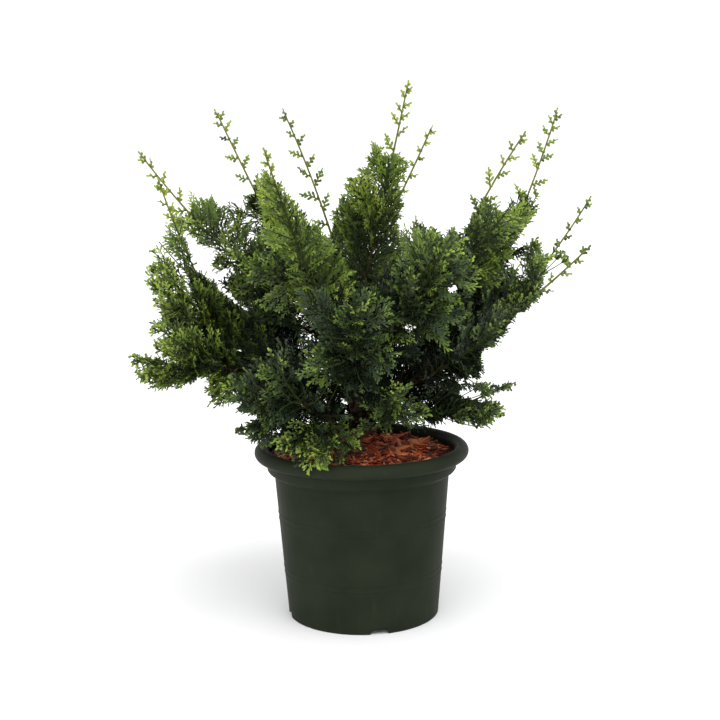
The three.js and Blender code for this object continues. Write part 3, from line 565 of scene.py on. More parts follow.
# Groups of chips: the name of each, its share of them, and its colours
CHIP_GROUPS = [
    ("mulch_dark", 0.40, [(0.3, (0.050, 0.010, 0.005)), (0.72, (0.220, 0.042, 0.016))]),
    ("mulch_red", 0.38, [(0.3, (0.300, 0.045, 0.013)), (0.72, (0.860, 0.175, 0.052))]),
    ("mulch_pale", 0.22, [(0.3, (0.700, 0.190, 0.065)), (0.72, (1.000, 0.420, 0.185))]),
]

# Gloss of the leaves, less on the dark ones, and the shade between them
LEAF_SHEEN = 0.26
DARK_SHEEN = 0.04
SHEEN_BY_GREEN = 4
NOOK_DISTANCE = 0.014
NOOK_SAMPLES = 4
NOOK_TINTS = [(0.20, (0.05, 0.06, 0.09)), (0.80, (1, 1, 1))]

# Camera, in metres and degrees, with its roll in radians
CAMERA_PLACE = (-0.000283, -1.20616, 0.42429)
CAMERA_PITCH = 81.32
CAMERA_ROLL = -0.014
CAMERA_LENS = 65.85
SENSOR = 36
PICTURE = 720
PIXELS_PER_SLOPE = PICTURE * CAMERA_LENS / SENSOR
CAMERA_FAR = 100

# Floor and studio: half the floor's side in metres, and the light from the walls up to the ceiling
FLOOR_HALF = 150
SKY_TINTS = [(0.22, (1.0, 1.0, 1.0)), (0.60, (0.55, 0.55, 0.56))]
WORLD_STRENGTH = 1.14

# Suns: name, heading (0 is from the right and 270 from the front), height, width in degrees, and strength
SUNS = [("key", 300, 62, 50, 1.6), ("fill", 222, 42, 70, 0.9), ("back", 90, 55, 60, 0.5)]


# Small helpers
class Seeded:
    """The same seeded numbers as the source's"""

    def __init__(self, seed):
        self.state = seed

    def __call__(self):
        self.state = (self.state + 0x6D2B79F5) & 0xFFFFFFFF
        state = self.state
        mixed = ((state ^ (state >> 15)) * (state | 1)) & 0xFFFFFFFF
        mixed ^= (mixed + (((mixed ^ (mixed >> 7)) * (mixed | 61)) & 0xFFFFFFFF)) & 0xFFFFFFFF
        return ((mixed ^ (mixed >> 14)) & 0xFFFFFFFF) / 4294967296


def unit(vector):
    return vector / np.linalg.norm(vector)


def mix(low, high, share):
    return low + (high - low) * share


def ramp(low, high, value):
    share = np.clip((value - low) / (high - low), 0, 1)
    return share * share * (3 - 2 * share)


def play(random, amount):
    return 1 + amount * (2 * random() - 1)


def place(heading, reach, height):
    angle = math.radians(heading)
    return np.array([reach * math.cos(angle), reach * math.sin(angle), height])


def turned(vector, axis, angle):
    """The vector turned about an axis that it is square to"""
    return vector * math.cos(angle) + np.cross(axis, vector) * math.sin(angle)


class Curve:
    """A smooth curve through its end points, whose points are found by their share of its length"""

    DIVISIONS = 200
    TANGENT_STEP = 0.002

    def __init__(self, *controls):
        self.controls = [np.array(control, float) for control in controls]
        self.parameters = np.linspace(0, 1, self.DIVISIONS + 1)
        steps = np.linalg.norm(np.diff(self.raw(self.parameters), axis=0), axis=1)
        self.reached = np.concatenate([[0], np.cumsum(steps)])
        self.length = float(self.reached[-1])

    def raw(self, parameters):
        points = [control + 0 * parameters[:, None] for control in self.controls]
        while len(points) > 1:
            points = [a + (b - a) * parameters[:, None] for a, b in zip(points, points[1:])]
        return points[0]

    def points(self, shares):
        shares = np.atleast_1d(np.asarray(shares, float))
        return self.raw(np.interp(shares * self.length, self.reached, self.parameters))

    def point(self, share):
        return self.points(share)[0]

    def tangent(self, share):
        low = max(0.0, share - self.TANGENT_STEP)
        high = min(1.0, share + self.TANGENT_STEP)
        return unit(self.point(high) - self.point(low))


def bend(start, direction, tip, sag):
    span = np.linalg.norm(tip - start)
    middle = (start + tip) / 2 - UP * sag * span
    arm = np.linalg.norm(middle - start)
    return Curve(start, start + direction * arm, tip)


def aim(start, tip, sag):
    middle = (start + tip) / 2 - UP * sag * np.linalg.norm(tip - start)
    return unit(middle - start)


def on_bar(curve, steps, share):
    step = min(int(share * steps), steps - 1)
    ends = curve.points([step / steps, (step + 1) / steps])
    return mix(ends[0], ends[1], share * steps - step)


def leave(parent, at, radius, tip, sag):
    along = parent["curve"].tangent(at)
    if at == 1:
        end = parent["curve"].point(1) - along * END_OVERLAP
        return end, aim(end, tip, sag)
    root = on_bar(parent["curve"], parent["steps"], at)
    direction = aim(root, tip, sag)
    least = math.radians(LEAST_LEAVING_ANGLE)
    if math.acos(np.clip(direction @ along, -1, 1)) < least:
        aside = unit(direction - along * (direction @ along))
        direction = along * math.cos(least) + aside * math.sin(least)
    slope = math.acos(np.clip(direction @ along, -1, 1))
    outside = (parent["radius_at"](at) + radius * abs(math.cos(slope))) / math.sin(slope)
    return root + direction * (outside - SIDE_OVERLAP), direction


def frames_along(points):
    """Two directions square to a line of points, carried along it without twist"""
    tangents = np.gradient(points, axis=0)
    tangents /= np.linalg.norm(tangents, axis=1)[:, None]
    steep = abs(tangents[0][0]) < NEARLY_ALONG
    sides = [unit(np.cross(tangents[0], UNIT_X if steep else UNIT_Y))]
    for tangent in tangents[1:]:
        carried = sides[-1] - tangent * (sides[-1] @ tangent)
        sides.append(unit(carried))
    sides = np.array(sides)
    return sides, np.cross(tangents, sides)


def closed_rings(rings, ends):
    """The vertices and triangles of a solid over rows of rings, closed at each end round a point"""
    rows, sides, _ = rings.shape
    ring = np.arange(sides)
    after = (ring + 1) % sides
    faces = []
    for low in range(0, (rows - 1) * sides, sides):
        high = low + sides
        faces.append(np.stack([low + ring, low + after, high + after], 1))
        faces.append(np.stack([low + ring, high + after, high + ring], 1))
    foot = rows * sides
    last = foot - sides
    faces.append(np.stack([after, ring, np.full(sides, foot)], 1))
    faces.append(np.stack([last + ring, last + after, np.full(sides, foot + 1)], 1))
    return np.concatenate([rings.reshape(-1, 3), ends]), np.concatenate(faces)


def tube(points, radii, sides, relief=None):
    """A closed bar along points. relief(angle, travel) adds to the radius."""
    across, aside = frames_along(points)
    angles = np.arange(sides) * 2 * math.pi / sides
    radius = np.repeat(np.asarray(radii, float)[:, None], sides, axis=1)
    if relief is not None:
        travel = np.concatenate([[0], np.cumsum(np.linalg.norm(np.diff(points, axis=0), axis=1))])
        radius = radius + relief(angles[None, :], travel[:, None])
    cosines = np.cos(angles)[None, :, None]
    sines = np.sin(angles)[None, :, None]
    circle = across[:, None, :] * cosines + aside[:, None, :] * sines
    return closed_rings(points[:, None, :] + circle * radius[:, :, None], points[[0, -1]])


def lathe(profile, segments):
    """A closed turned solid from a profile that starts and ends on the axis"""
    angles = np.arange(segments) * 2 * math.pi / segments
    inner = np.array(profile[1:-1], float)
    rings = np.stack([
        inner[:, None, 0] * np.cos(angles)[None, :],
        inner[:, None, 0] * np.sin(angles)[None, :],
        np.repeat(inner[:, 1][:, None], segments, axis=1),
    ], 2)
    return closed_rings(rings, np.array([[0, 0, profile[0][1]], [0, 0, profile[-1][1]]], float))


def prism(corners, low, high):
    """An upright prism over flat corners, in the order that faces its top up"""
    count = len(corners)
    flat = np.array(corners, float)
    floor = np.column_stack([flat, np.full(count, low)])
    roof = np.column_stack([flat, np.full(count, high)])
    ring = np.arange(count)
    after = (ring + 1) % count
    fan = np.arange(1, count - 1)
    faces = [
        np.stack([ring, after, after + count], 1),
        np.stack([ring, after + count, ring + count], 1),
        np.stack([np.zeros(count - 2, int), fan + 1, fan], 1),
        np.stack([np.full(count - 2, count), fan + count, fan + 1 + count], 1),
    ]
    return np.concatenate([floor, roof]), np.concatenate(faces)


def joined(parts):
    """Many (vertices, faces) as one"""
    vertices = []
    faces = []
    offset = 0
    for part_vertices, part_faces in parts:
        vertices.append(part_vertices)
        faces.append(part_faces + offset)
        offset += len(part_vertices)
    return np.concatenate(vertices), np.concatenate(faces)


def in_scene(name, data):
    thing = bpy.data.objects.new(name, data)
    bpy.context.scene.collection.objects.link(thing)
    return thing


def plain_mesh(name, vertices, faces):
    mesh = bpy.data.meshes.new(name)
    mesh.from_pydata(vertices, [], faces)
    return mesh


def smooth_up_to(mesh, angle):
    mesh.polygons.foreach_set("use_smooth", np.ones(len(mesh.polygons), bool))
    mesh.set_sharp_from_angle(angle=math.radians(angle))


def new_piece(name, vertices, faces, material, slot, nodes, smooth=None):
    """A mesh from arrays in millimetres, which rides on the root and stands for the given nodes"""
    mesh = bpy.data.meshes.new(name)
    mesh.vertices.add(len(vertices))
    mesh.vertices.foreach_set("co", (vertices * MM).astype(np.float32).ravel())
    count = faces.shape[1]
    mesh.loops.add(faces.size)
    mesh.loops.foreach_set("vertex_index", faces.astype(np.int32).ravel())
    mesh.polygons.add(len(faces))
    mesh.polygons.foreach_set("loop_start", (np.arange(len(faces)) * count).astype(np.int32))
    mesh.update(calc_edges=True)
    mesh.materials.append(material)
    piece = in_scene(name, mesh)
    if smooth is not None:
        smooth_up_to(mesh, smooth)
    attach(piece, "root")
    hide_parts(*nodes)
    return piece


# Materials
def add_node(owner, kind, **values):
    """A new node of a material or world, with its inputs' values"""
    node = owner.node_tree.nodes.new(kind)
    for name, value in values.items():
        node.inputs[name].default_value = value
    return node


def link(owner, source, target):
    owner.node_tree.links.new(source, target)


def noise(material, scale, detail, stretch=(1, 1, 1)):
    """Noise over the object's own coordinates, in metres, stretched along an axis by a small factor"""
    coordinates = add_node(material, "ShaderNodeTexCoord")
    mapping = add_node(material, "ShaderNodeMapping", Scale=stretch)
    texture = add_node(material, "ShaderNodeTexNoise", Scale=scale, Detail=detail)
    link(material, coordinates.outputs["Object"], mapping.inputs["Vector"])
    link(material, mapping.outputs["Vector"], texture.inputs["Vector"])
    return texture.outputs["Fac"]


def colour_ramp(owner, source, tints):
    node = add_node(owner, "ShaderNodeValToRGB")
    elements = node.color_ramp.elements
    while len(elements) < len(tints):
        elements.new(0.5)
    for element, (position, colour) in zip(elements, tints):
        element.position = position
        element.color = (*colour, 1)
    link(owner, source, node.inputs["Fac"])
    return node.outputs["Color"]


def mixed(material, share, base, other, blend="MIX"):
    """Two colours mixed by a share, each of the three a plain value or another node's output"""
    node = add_node(material, "ShaderNodeMix")
    node.data_type = "RGBA"
    node.blend_type = blend
    for socket, value in zip(MIX_INPUTS, (share, base, other)):
        if isinstance(value, bpy.types.NodeSocket):
            link(material, value, node.inputs[socket])
        else:
            node.inputs[socket].default_value = value
    return node.outputs[MIX_RESULT]


def bump(material, shader, source, strength, distance):
    node = add_node(material, "ShaderNodeBump", Strength=strength, Distance=distance)
    link(material, source, node.inputs["Height"])
    link(material, node.outputs["Normal"], shader.inputs["Normal"])


def surface(name, tints, grain, roughness=None, sheen=None, relief=None):
    """A material whose colour, roughness and relief follow one noise; also its shader, noise and colour"""
    material = bpy.data.materials.new(name)
    material.use_nodes = True
    material.node_tree.nodes.clear()
    output = add_node(material, "ShaderNodeOutputMaterial")
    shader = add_node(material, "ShaderNodeBsdfPrincipled")
    link(material, shader.outputs["BSDF"], output.inputs["Surface"])
    source = noise(material, *grain)
    colour = colour_ramp(material, source, tints)
    link(material, colour, shader.inputs["Base Color"])
    if roughness:
        low, high = roughness
        spread = add_node(material, "ShaderNodeMapRange", **{"To Min": low, "To Max": high})
        link(material, source, spread.inputs["Value"])
        link(material, spread.outputs["Result"], shader.inputs["Roughness"])
    if sheen is not None:
        shader.inputs["Specular IOR Level"].default_value = sheen
    if relief:
        bump(material, shader, source, *relief)
    return material, shader, source, colour


def leaf_material(name, tone):
    """A leaf's tone, patched, with painted shade in the nooks between the leaves"""
    tints = [(position, np.multiply(tone, factors)) for position, factors in LEAF_TINTS]
    sheen = min(LEAF_SHEEN, DARK_SHEEN + SHEEN_BY_GREEN * tone[1])
    material, shader, _, colour = surface(name, tints, **LEAF_SURFACE, sheen=sheen)
    # Painted shade: the colour is multiplied darker where ambient occlusion finds leaves close by
    nook = add_node(material, "ShaderNodeAmbientOcclusion", Distance=NOOK_DISTANCE)
    nook.samples = NOOK_SAMPLES
    depth = colour_ramp(material, nook.outputs["AO"], NOOK_TINTS)
    link(material, mixed(material, 1, colour, depth, "MULTIPLY"), shader.inputs["Base Color"])
    return material


def bark_material():
    material, shader, _, colour = surface("bark", BARK_TINTS, **BARK_SURFACE)
    aged = mixed(material, noise(material, *BARK_PATCHES), colour, BARK_AGED)
    link(material, aged, shader.inputs["Base Color"])
    return material


def pot_material():
    """Plastic of two near tones, with dusty scuffs along it and a fine stipple"""
    material, shader, _, marks = surface("pot_plastic", POT_MARKS, **POT_SURFACE)
    base = colour_ramp(material, noise(material, *POT_CLOUD), POT_TINTS)
    link(material, mixed(material, marks, base, POT_DUST), shader.inputs["Base Color"])
    bump(material, shader, noise(material, *POT_STIPPLE), *POT_RELIEF)
    return material


# Pot
def pot_profile():
    slope = (BODY_TOP_RADIUS - BASE_RADIUS) / BODY_TOP
    profile = [(0, 0), (CENTRE_PAD_RADIUS, 0), (CENTRE_PAD_RADIUS, FLOOR_UNDERSIDE)]
    profile += [(BASE_RADIUS - FOOT_RING_WIDTH, FLOOR_UNDERSIDE), (BASE_RADIUS - FOOT_RING_WIDTH, 0)]
    profile += [(BASE_RADIUS - FOOT_CHAMFER, 0), (BASE_RADIUS, FOOT_CHAMFER)]
    for height in RIB_HEIGHTS:
        for offset in RIB_STEPS:
            z = height + offset * RIB_HALF_WIDTH
            rise = RIB_RELIEF * max(0.0, 1 - offset * offset)
            profile.append((BASE_RADIUS + slope * z + rise, z))
    profile += [(BODY_TOP_RADIUS + out, BODY_TOP + up) for out, up in BODY_TURN]
    profile += [(COLLAR_RADIUS + out, COLLAR_FOOT + up) for out, up in COLLAR_TURN]
    centre = RIM_RADIUS - BEAD_RADIUS
    height = RIM_TOP - BEAD_RADIUS
    for angle in np.radians(np.linspace(*BEAD_ANGLES, BEAD_POINTS)):
        profile.append((centre + BEAD_RADIUS * math.cos(angle), height + BEAD_RADIUS * math.sin(angle)))
    profile += [(centre - BEAD_RADIUS, COLLAR_FOOT + WALL), (BODY_TOP_RADIUS - WALL, BODY_TOP + WALL)]
    profile += [(BASE_RADIUS - WALL, FLOOR_UNDERSIDE + WALL), (0, FLOOR_UNDERSIDE + WALL)]
    return profile


def notch_cutter(heading):
    foot = NOTCH_FOOT_WIDTH / 2
    head = NOTCH_HEAD_WIDTH / 2
    corners = [(-foot, -NOTCH_BELOW), (foot, -NOTCH_BELOW), (head, NOTCH_HEIGHT), (-head, NOTCH_HEIGHT)]
    vertices, faces = prism(corners, -NOTCH_DEPTH / 2, NOTCH_DEPTH / 2)
    stood = np.column_stack([vertices[:, 0], -BASE_RADIUS - vertices[:, 2], vertices[:, 1]])
    angle = math.radians(heading - FRONT_HEADING)
    cosine = math.cos(angle)
    sine = math.sin(angle)
    return stood @ np.array([[cosine, sine, 0], [-sine, cosine, 0], [0, 0, 1]]), faces


def drain_cutter(heading):
    x, y, _ = place(heading, DRAIN_CIRCLE, 0)
    angles = np.arange(DRAIN_SIDES) * 2 * math.pi / DRAIN_SIDES
    corners = [(x + DRAIN_RADIUS * math.cos(angle), y + DRAIN_RADIUS * math.sin(angle)) for angle in angles]
    return prism(corners, FLOOR_UNDERSIDE - WALL, FLOOR_UNDERSIDE + 2 * WALL)


def make_pot():
    vertices, faces = lathe(pot_profile(), POT_SEGMENTS)
    pot = new_piece("pot_shell", vertices, faces, pot_material(), "pot_plastic", ["pot"])
    cutters = [notch_cutter(NOTCH_HEADING + 360 * i / NOTCH_COUNT) for i in range(NOTCH_COUNT)]
    cutters += [drain_cutter(360 * i / DRAIN_COUNT) for i in range(DRAIN_COUNT)]
    vertices, faces = joined(cutters)
    cutter = in_scene("pot_cutter", plain_mesh("pot_cutter", (vertices * MM).tolist(), faces.tolist()))
    modifier = pot.modifiers.new("holes", "BOOLEAN")
    modifier.operation = "DIFFERENCE"
    modifier.solver = "EXACT"
    modifier.object = cutter
    bpy.context.view_layer.update()
    shaped = bpy.data.meshes.new_from_object(pot.evaluated_get(bpy.context.evaluated_depsgraph_get()))
    pot.modifiers.clear()
    pot.data = shaped
    bpy.data.objects.remove(cutter)
    smooth_up_to(shaped, POT_SHARP_ANGLE)


# Growing medium
def medium_height(x, y):
    waves = MEDIUM_WAVES
    quick = np.sin(x * waves["x"]) * np.cos(y * waves["y"])
    slow = waves["slow_share"] * np.sin(x * waves["slow_x"] - y * waves["slow_y"])
    share = ramp(MEDIUM_FLAT_RADIUS, 2 * MEDIUM_FLAT_RADIUS, np.hypot(x, y))
    return MEDIUM_LEVEL + MEDIUM_RELIEF * (quick + slow) * share


def make_medium():
    inner = RIM_RADIUS - 2 * BEAD_RADIUS - SEAT_GAP
    foot = FLOOR_UNDERSIDE + WALL + SEAT_GAP
    profile = [(0, foot), (BASE_RADIUS - WALL - SEAT_GAP, foot)]
    profile += [(BODY_TOP_RADIUS - WALL - SEAT_GAP, BODY_TOP + WALL), (inner, COLLAR_FOOT + WALL + SEAT_GAP)]
    profile += [(radius, MEDIUM_LEVEL) for radius in np.linspace(inner, 0, MEDIUM_RINGS)]
    vertices, faces = lathe(profile, MEDIUM_SEGMENTS)
    x, y, z = vertices.T
    random = np.random.default_rng(MEDIUM_SEED)
    grain = MEDIUM_GRAIN * random.normal(0, 1, len(z)).clip(-MEDIUM_GRAIN_LIMIT, MEDIUM_GRAIN_LIMIT)
    vertices[:, 2] = np.where(z == MEDIUM_LEVEL, medium_height(x, y) + grain, z)
    material = surface("compost", COMPOST_TINTS, **MULCH_SURFACE)[0]
    slot = "growing_medium"
    new_piece("medium_body", vertices, faces, material, slot, ["growing_medium"], MEDIUM_SHARP_ANGLE)


def chip(random, length, width, thickness):
    """A torn flat fibre: a few corners round its outline on each side, a little bent and twisted"""
    xs, ys = np.array(CHIP_OUTLINE).T
    xs = xs + random.normal(0, CHIP_OUTLINE_PLAY[0], len(xs))
    ys = ys + random.normal(0, CHIP_OUTLINE_PLAY[1], len(ys))
    corners = list(zip(xs * length, ys * width))
    vertices, faces = prism(corners[::-1], -thickness / 2, thickness / 2)
    curl = random.normal(0, CHIP_CURL) / length
    twist = random.normal(0, CHIP_TWIST) / length
    x, y, z = vertices.T
    return np.column_stack([x, y, z + curl * x * x + twist * x * y]), faces


def make_mulch():
    random = np.random.default_rng(CHIP_SEED)
    inner = RIM_RADIUS - 2 * BEAD_RADIUS - CHIP_EDGE
    names, shares, tints = zip(*CHIP_GROUPS)
    groups = [[] for _ in names]
    for index in range(CHIP_COUNT + LUMP_COUNT):
        length = random.uniform(*CHIP_LENGTHS) * (SHORT_CHIP_SCALE if random.random() < SHORT_CHIPS else 1)
        width = min(random.uniform(*CHIP_WIDTHS), length * CHIP_MOST_WIDTH)
        thickness = random.uniform(*CHIP_THICKNESS)
        if index >= CHIP_COUNT:
            length, width, thickness = [random.uniform(*sizes) for sizes in LUMP_SIZES]
        vertices, faces = chip(random, length, width, thickness)
        yaw = random.uniform(0, 2 * math.pi)
        pitch = random.normal(0, CHIP_PITCH)
        roll = random.normal(0, CHIP_ROLL)
        turn = Matrix.Rotation(yaw, 3, "Z") @ Matrix.Rotation(pitch, 3, "Y") @ Matrix.Rotation(roll, 3, "X")
        reach = (inner - length / 2) * math.sqrt(random.random())
        x, y, _ = place(random.uniform(0, 360), reach, 0)
        rise = random.uniform(*CHIP_RISE) + abs(math.sin(pitch)) * length * CHIP_LEAN_RISE
        spot = np.array([x, y, float(medium_height(x, y)) + rise])
        group = groups[random.choice(len(groups), p=shares)]
        group.append((vertices @ np.array(turn).T + spot, faces))
    for name, colours, group in zip(names, tints, groups):
        material = surface(name, colours, **MULCH_SURFACE)[0]
        new_piece(name, *joined(group), material, "growing_medium", ["growing_medium"])


# Trunk and boughs
def make_trunk():
    foot = np.array([*TRUNK_FOOT, MEDIUM_LEVEL + SEAT_GAP], float)
    fork = np.array(TRUNK_FORK, float)
    middle = (foot + fork) / 2 + np.array(TRUNK_BOW)
    curve = Curve(foot, foot + UP * TRUNK_UPRIGHT_LENGTH, middle, fork)
    height = float(np.linalg.norm(fork - foot))

    def flare(share):
        return np.maximum(0, 1 - share * height / FLARE_HEIGHT) ** FLARE_CURVE

    def radius_at(share):
        return mix(TRUNK_FOOT_RADIUS, TRUNK_FORK_RADIUS, share) + FLARE_WIDTH * flare(share)

    return {"name": "trunk", "curve": curve, "radius_at": radius_at, "flare": flare, "steps": TRUNK_STEPS}


def make_bough(spec, trunk):
    name, at, radius, heading, reach, height = spec
    tip = place(heading, reach, height)
    start, direction = leave(trunk, at, radius, tip, BOUGH_SAG)
    return {
        "name": name,
        "curve": bend(start, direction, tip, BOUGH_SAG),
        "radius_at": lambda share: radius * mix(1, BOUGH_TIP_SHARE, share),
        "steps": BOUGH_STEPS,
    }


def bark_relief(seed, amplitude):
    """Long furrows that wander a little as they run along the limb"""
    random = np.random.default_rng(seed)
    count = len(BARK_LOBES)
    phases = random.uniform(0, 2 * math.pi, 2 * count)
    waves = random.uniform(*BARK_WAVES, 2 * count)

    def relief(angle, travel):
        total = 0 * (angle + travel)
        for index, lobes in enumerate(BARK_LOBES):
            wander = BARK_WANDER * np.sin(travel * waves[index] + phases[index])
            furrow = np.abs(np.sin(lobes / 2 * angle + wander + phases[index + count]))
            total = total + furrow / (index + BARK_FADE)
        knots = KNOT_DEPTH * np.sin(travel * KNOT_WAVE + phases[0]) * np.cos(angle + phases[1])
        return amplitude * (total - BARK_MEAN + knots)

    return relief


def limb_line(limb, count):
    """The limb's middle line and radii, with its root run back into what carries it"""
    shares = np.linspace(0, 1, count)
    points = limb["curve"].points(shares)
    radii = limb["radius_at"](shares)
    if limb["name"] == "trunk":
        return points, radii
    back = points[0] - limb["curve"].tangent(0) * BURIED_LENGTH
    collar = 1 + ROOT_COLLAR * np.exp(-shares * limb["curve"].length / ROOT_COLLAR_LENGTH)
    points = np.concatenate([[back], points])
    radii = np.concatenate([[radii[0]], radii * collar])
    return points, radii


def make_bark(trunk, boughs):
    material = bark_material()
    rings, sides = TRUNK_MESH
    points, radii = limb_line(trunk, rings)
    furrows = bark_relief(TRUNK_SEED, BARK_RELIEF)
    depths = radii[:, None] * FLARE_LOBE_DEPTH * trunk["flare"](np.linspace(0, 1, rings))[:, None]

    def trunk_relief(angle, travel):
        return furrows(angle, travel) + depths * np.cos(FLARE_LOBES * angle)

    vertices, faces = tube(points, radii, sides, trunk_relief)
    vertices[:, 2] = np.maximum(vertices[:, 2], MEDIUM_LEVEL + SEAT_GAP)
    new_piece("trunk_bark", vertices, faces, material, "bark", ["trunk"], BARK_SHARP_ANGLE)
    rings, sides = BOUGH_MESH
    for index, bough in enumerate(boughs):
        relief = bark_relief(BOUGH_SEED + index, BARK_RELIEF * BOUGH_RELIEF_SHARE)
        name = bough["name"]
        vertices, faces = tube(*limb_line(bough, rings), sides, relief)
        new_piece(name + "_bark", vertices, faces, material, "bark", [name], BARK_SHARP_ANGLE)


# Shoots
def make_shoot(curve, build, leader, spread):
    share = max(LEAST_TWIG_SHARE, 1 - leader / curve.length)
    start, control, tip = curve.controls
    first = mix(start, control, share)
    second = mix(control, tip, share)
    twig = Curve(start, first, mix(first, second, share))
    return {**build, "curve": curve, "twig": twig, "leader": leader, "spread": spread}


def make_fork(stem, at, tip, sag, build, leader, spread):
    root = on_bar(stem["twig"], stem["steps"], at)
    end = place(*tip)
    return make_shoot(bend(root, aim(root, end, sag), end, sag), build, leader, spread)


def make_shoots(spec, boughs):
    """The stem and forks of one mass, as the solids have them"""
    _, bough_name, at, tip, sag, spread, leader, forks, _ = spec
    bough = next(candidate for candidate in boughs if candidate["name"] == bough_name)
    start, direction = leave(bough, at, STEM["radius"], place(*tip), sag)
    stem = make_shoot(bend(start, direction, place(*tip), sag), STEM, leader, spread)
    shortest = min(leader, FORK_LEADER)
    return [stem] + [make_fork(stem, *fork, sag, FORK, shortest, spread * FORK_SPREAD) for fork in forks]


def spray_frame(root, axis, tilt, face=None):
    """The spray's axis, the direction across it and the way it faces, as rows"""
    if face is None:
        bias = -VIEW_BIAS if root[1] < FRONT_HALF else REAR_BIAS
        face = unit(root - CROWN_HEART) + np.array([0, bias, UP_BIAS])
    face = unit(face - axis * (face @ axis))
    face = turned(face, axis, tilt)
    return np.array([axis, np.cross(face, axis), face])


def shoot_sprays(shoot, random):
    """The source's own sprays, then the finer ones between them"""
    sprays = []
    turn_start = random() * 360
    length = shoot["twig"].length
    end = length - shoot["bare"]
    back = FIRST_SPRAY
    count = 0
    while back < end:
        turn = turn_start + SPRAY_TURN * count + TURN_PLAY * (random() - 0.5)
        long = play(random, LENGTH_PLAY)
        tilt = TILT_PLAY * (random() - 0.5)
        sprays.append(one_spray(shoot, back, turn, long, tilt, True))
        back += SPRAY_PITCH * play(random, PITCH_PLAY)
        count += 1
    pitch = SPRAY_PITCH / (BETWEEN_SPRAYS + 1)
    for index in range(int(end / pitch)):
        back = FIRST_SPRAY + (index + 0.5 * random()) * pitch
        turn = turn_start + BETWEEN_TURN + SPRAY_TURN * index + 2 * TURN_PLAY * (random() - 0.5)
        long = mix(*BETWEEN_LENGTHS, random())
        tilt = BETWEEN_TILT * (random() - 0.5)
        if back < end:
            sprays.append(one_spray(shoot, back, turn, long, tilt, False))
    return sprays


def one_spray(shoot, back, turn, long, tilt, main):
    share = 1 - back / shoot["twig"].length
    along = shoot["twig"].tangent(share)
    aside = turned(unit(np.cross(along, UP)), along, math.radians(turn))
    opening = math.radians(mix(SPRAY_ANGLE_TIP, SPRAY_ANGLE_BASE, ramp(0, OPENING_LENGTH, back)))
    axis = unit(along * math.cos(opening) + aside * math.sin(opening))
    length = shoot["spread"] * mix(YOUNG_SHARE, 1, ramp(0, GROWTH_LENGTH, back)) * long
    root = on_bar(shoot["twig"], shoot["steps"], share)
    return {"root": root, "axis": axis, "length": float(length), "tilt": math.radians(tilt), "back": back,
            "main": main}


# Room
def spaced(curve, step):
    count = int(math.ceil(curve.length / step))
    return curve.points(np.linspace(0, 1, count + 1))


def gap(corners, points, radii=0):
    return (np.linalg.norm(corners[:, None, :] - points, axis=2) - radii).min(1)


def clear_of_pot(corners):
    reach = np.hypot(corners[:, 0], corners[:, 1])
    height = corners[:, 2]
    centre = RIM_RADIUS - BEAD_RADIUS
    bead = np.hypot(reach - centre, height - (RIM_TOP - BEAD_RADIUS)) - BEAD_RADIUS
    outside = (reach > centre) & (height > COLLAR_FOOT)
    above = (reach <= centre) & (height > MEDIUM_LEVEL + 2 * MEDIUM_RELIEF)
    return (bead > LIMB_ROOM) & (outside | above)


def keeps_its_room(corners, room, least):
    if not clear_of_pot(corners).all() or gap(corners, *room["limbs"]).min() < LIMB_ROOM:
        return False
    return (gap(corners, room["others"]) - gap(corners, room["own"])).min() > least


def spray_corners(frame_rows, root, length):
    half = length * SPRAY_WIDTH / 2
    local = np.array([(along * length, across * half, 0) for along, across in SPRAY_CORNERS])
    return local @ frame_rows + root


# The crown's outline
def camera_matrix():
    turn = Matrix.Rotation(math.radians(CAMERA_PITCH), 4, "X") @ Matrix.Rotation(CAMERA_ROLL, 4, "Z")
    return Matrix.Translation(CAMERA_PLACE) @ turn


def closed_crown(names, openings):
    """Which pixels of the front view the leaves of the named plumes may cover"""
    x, y = np.meshgrid(np.arange(PICTURE) + 0.5, np.arange(PICTURE) + 0.5)
    closed = np.zeros((PICTURE, PICTURE), bool)
    for name in names:
        plume = PLUMES[name]
        inside = np.zeros_like(closed)
        for (x0, y0), (x1, y1) in zip(plume, plume[1:] + plume[:1]):
            if y0 == y1:
                continue
            crosses = ((y0 > y) != (y1 > y)) & (x < x0 + (x1 - x0) * (y - y0) / (y1 - y0))
            inside ^= crosses
        closed |= inside
    for middle_x, middle_y, half_width, half_height in openings:
        closed &= ((x - middle_x) / half_width) ** 2 + ((y - middle_y) / half_height) ** 2 > 1
    return closed


class FrontView:
    """Where points fall in the photo's frame"""

    def __init__(self, names, openings=OPENINGS):
        matrix = np.array(camera_matrix())
        self.turn = matrix[:3, :3]
        self.place = matrix[:3, 3] / MM
        self.closed = closed_crown(names, openings)

    def keeps(self, points, shift):
        """Whether each point falls inside the crown, with every row of points shifted by some pixels"""
        seen = (points - self.place) @ self.turn
        x = PICTURE / 2 - PIXELS_PER_SLOPE * seen[..., 0] / seen[..., 2] + shift[..., 0]
        y = PICTURE / 2 + PIXELS_PER_SLOPE * seen[..., 1] / seen[..., 2] + shift[..., 1]
        return self.closed[np.clip(y, 0, PICTURE - 1).astype(int), np.clip(x, 0, PICTURE - 1).astype(int)]


# Leaves
def bent_plane(points, length, shape):
    """Points of a fan's plane, with its droop, cup and sway"""
    x, y, z = points[..., 0], points[..., 1], points[..., 2]
    share = np.clip(x / length, 0, FAN_BEND_END)
    sway = shape["sway"] * length * np.sin(math.pi * np.clip(share, 0, 1))
    lowered = z - shape["droop"] * length * share ** 2 - shape["cup"] * y * y / length
    return np.stack([x, y + sway, lowered], -1)


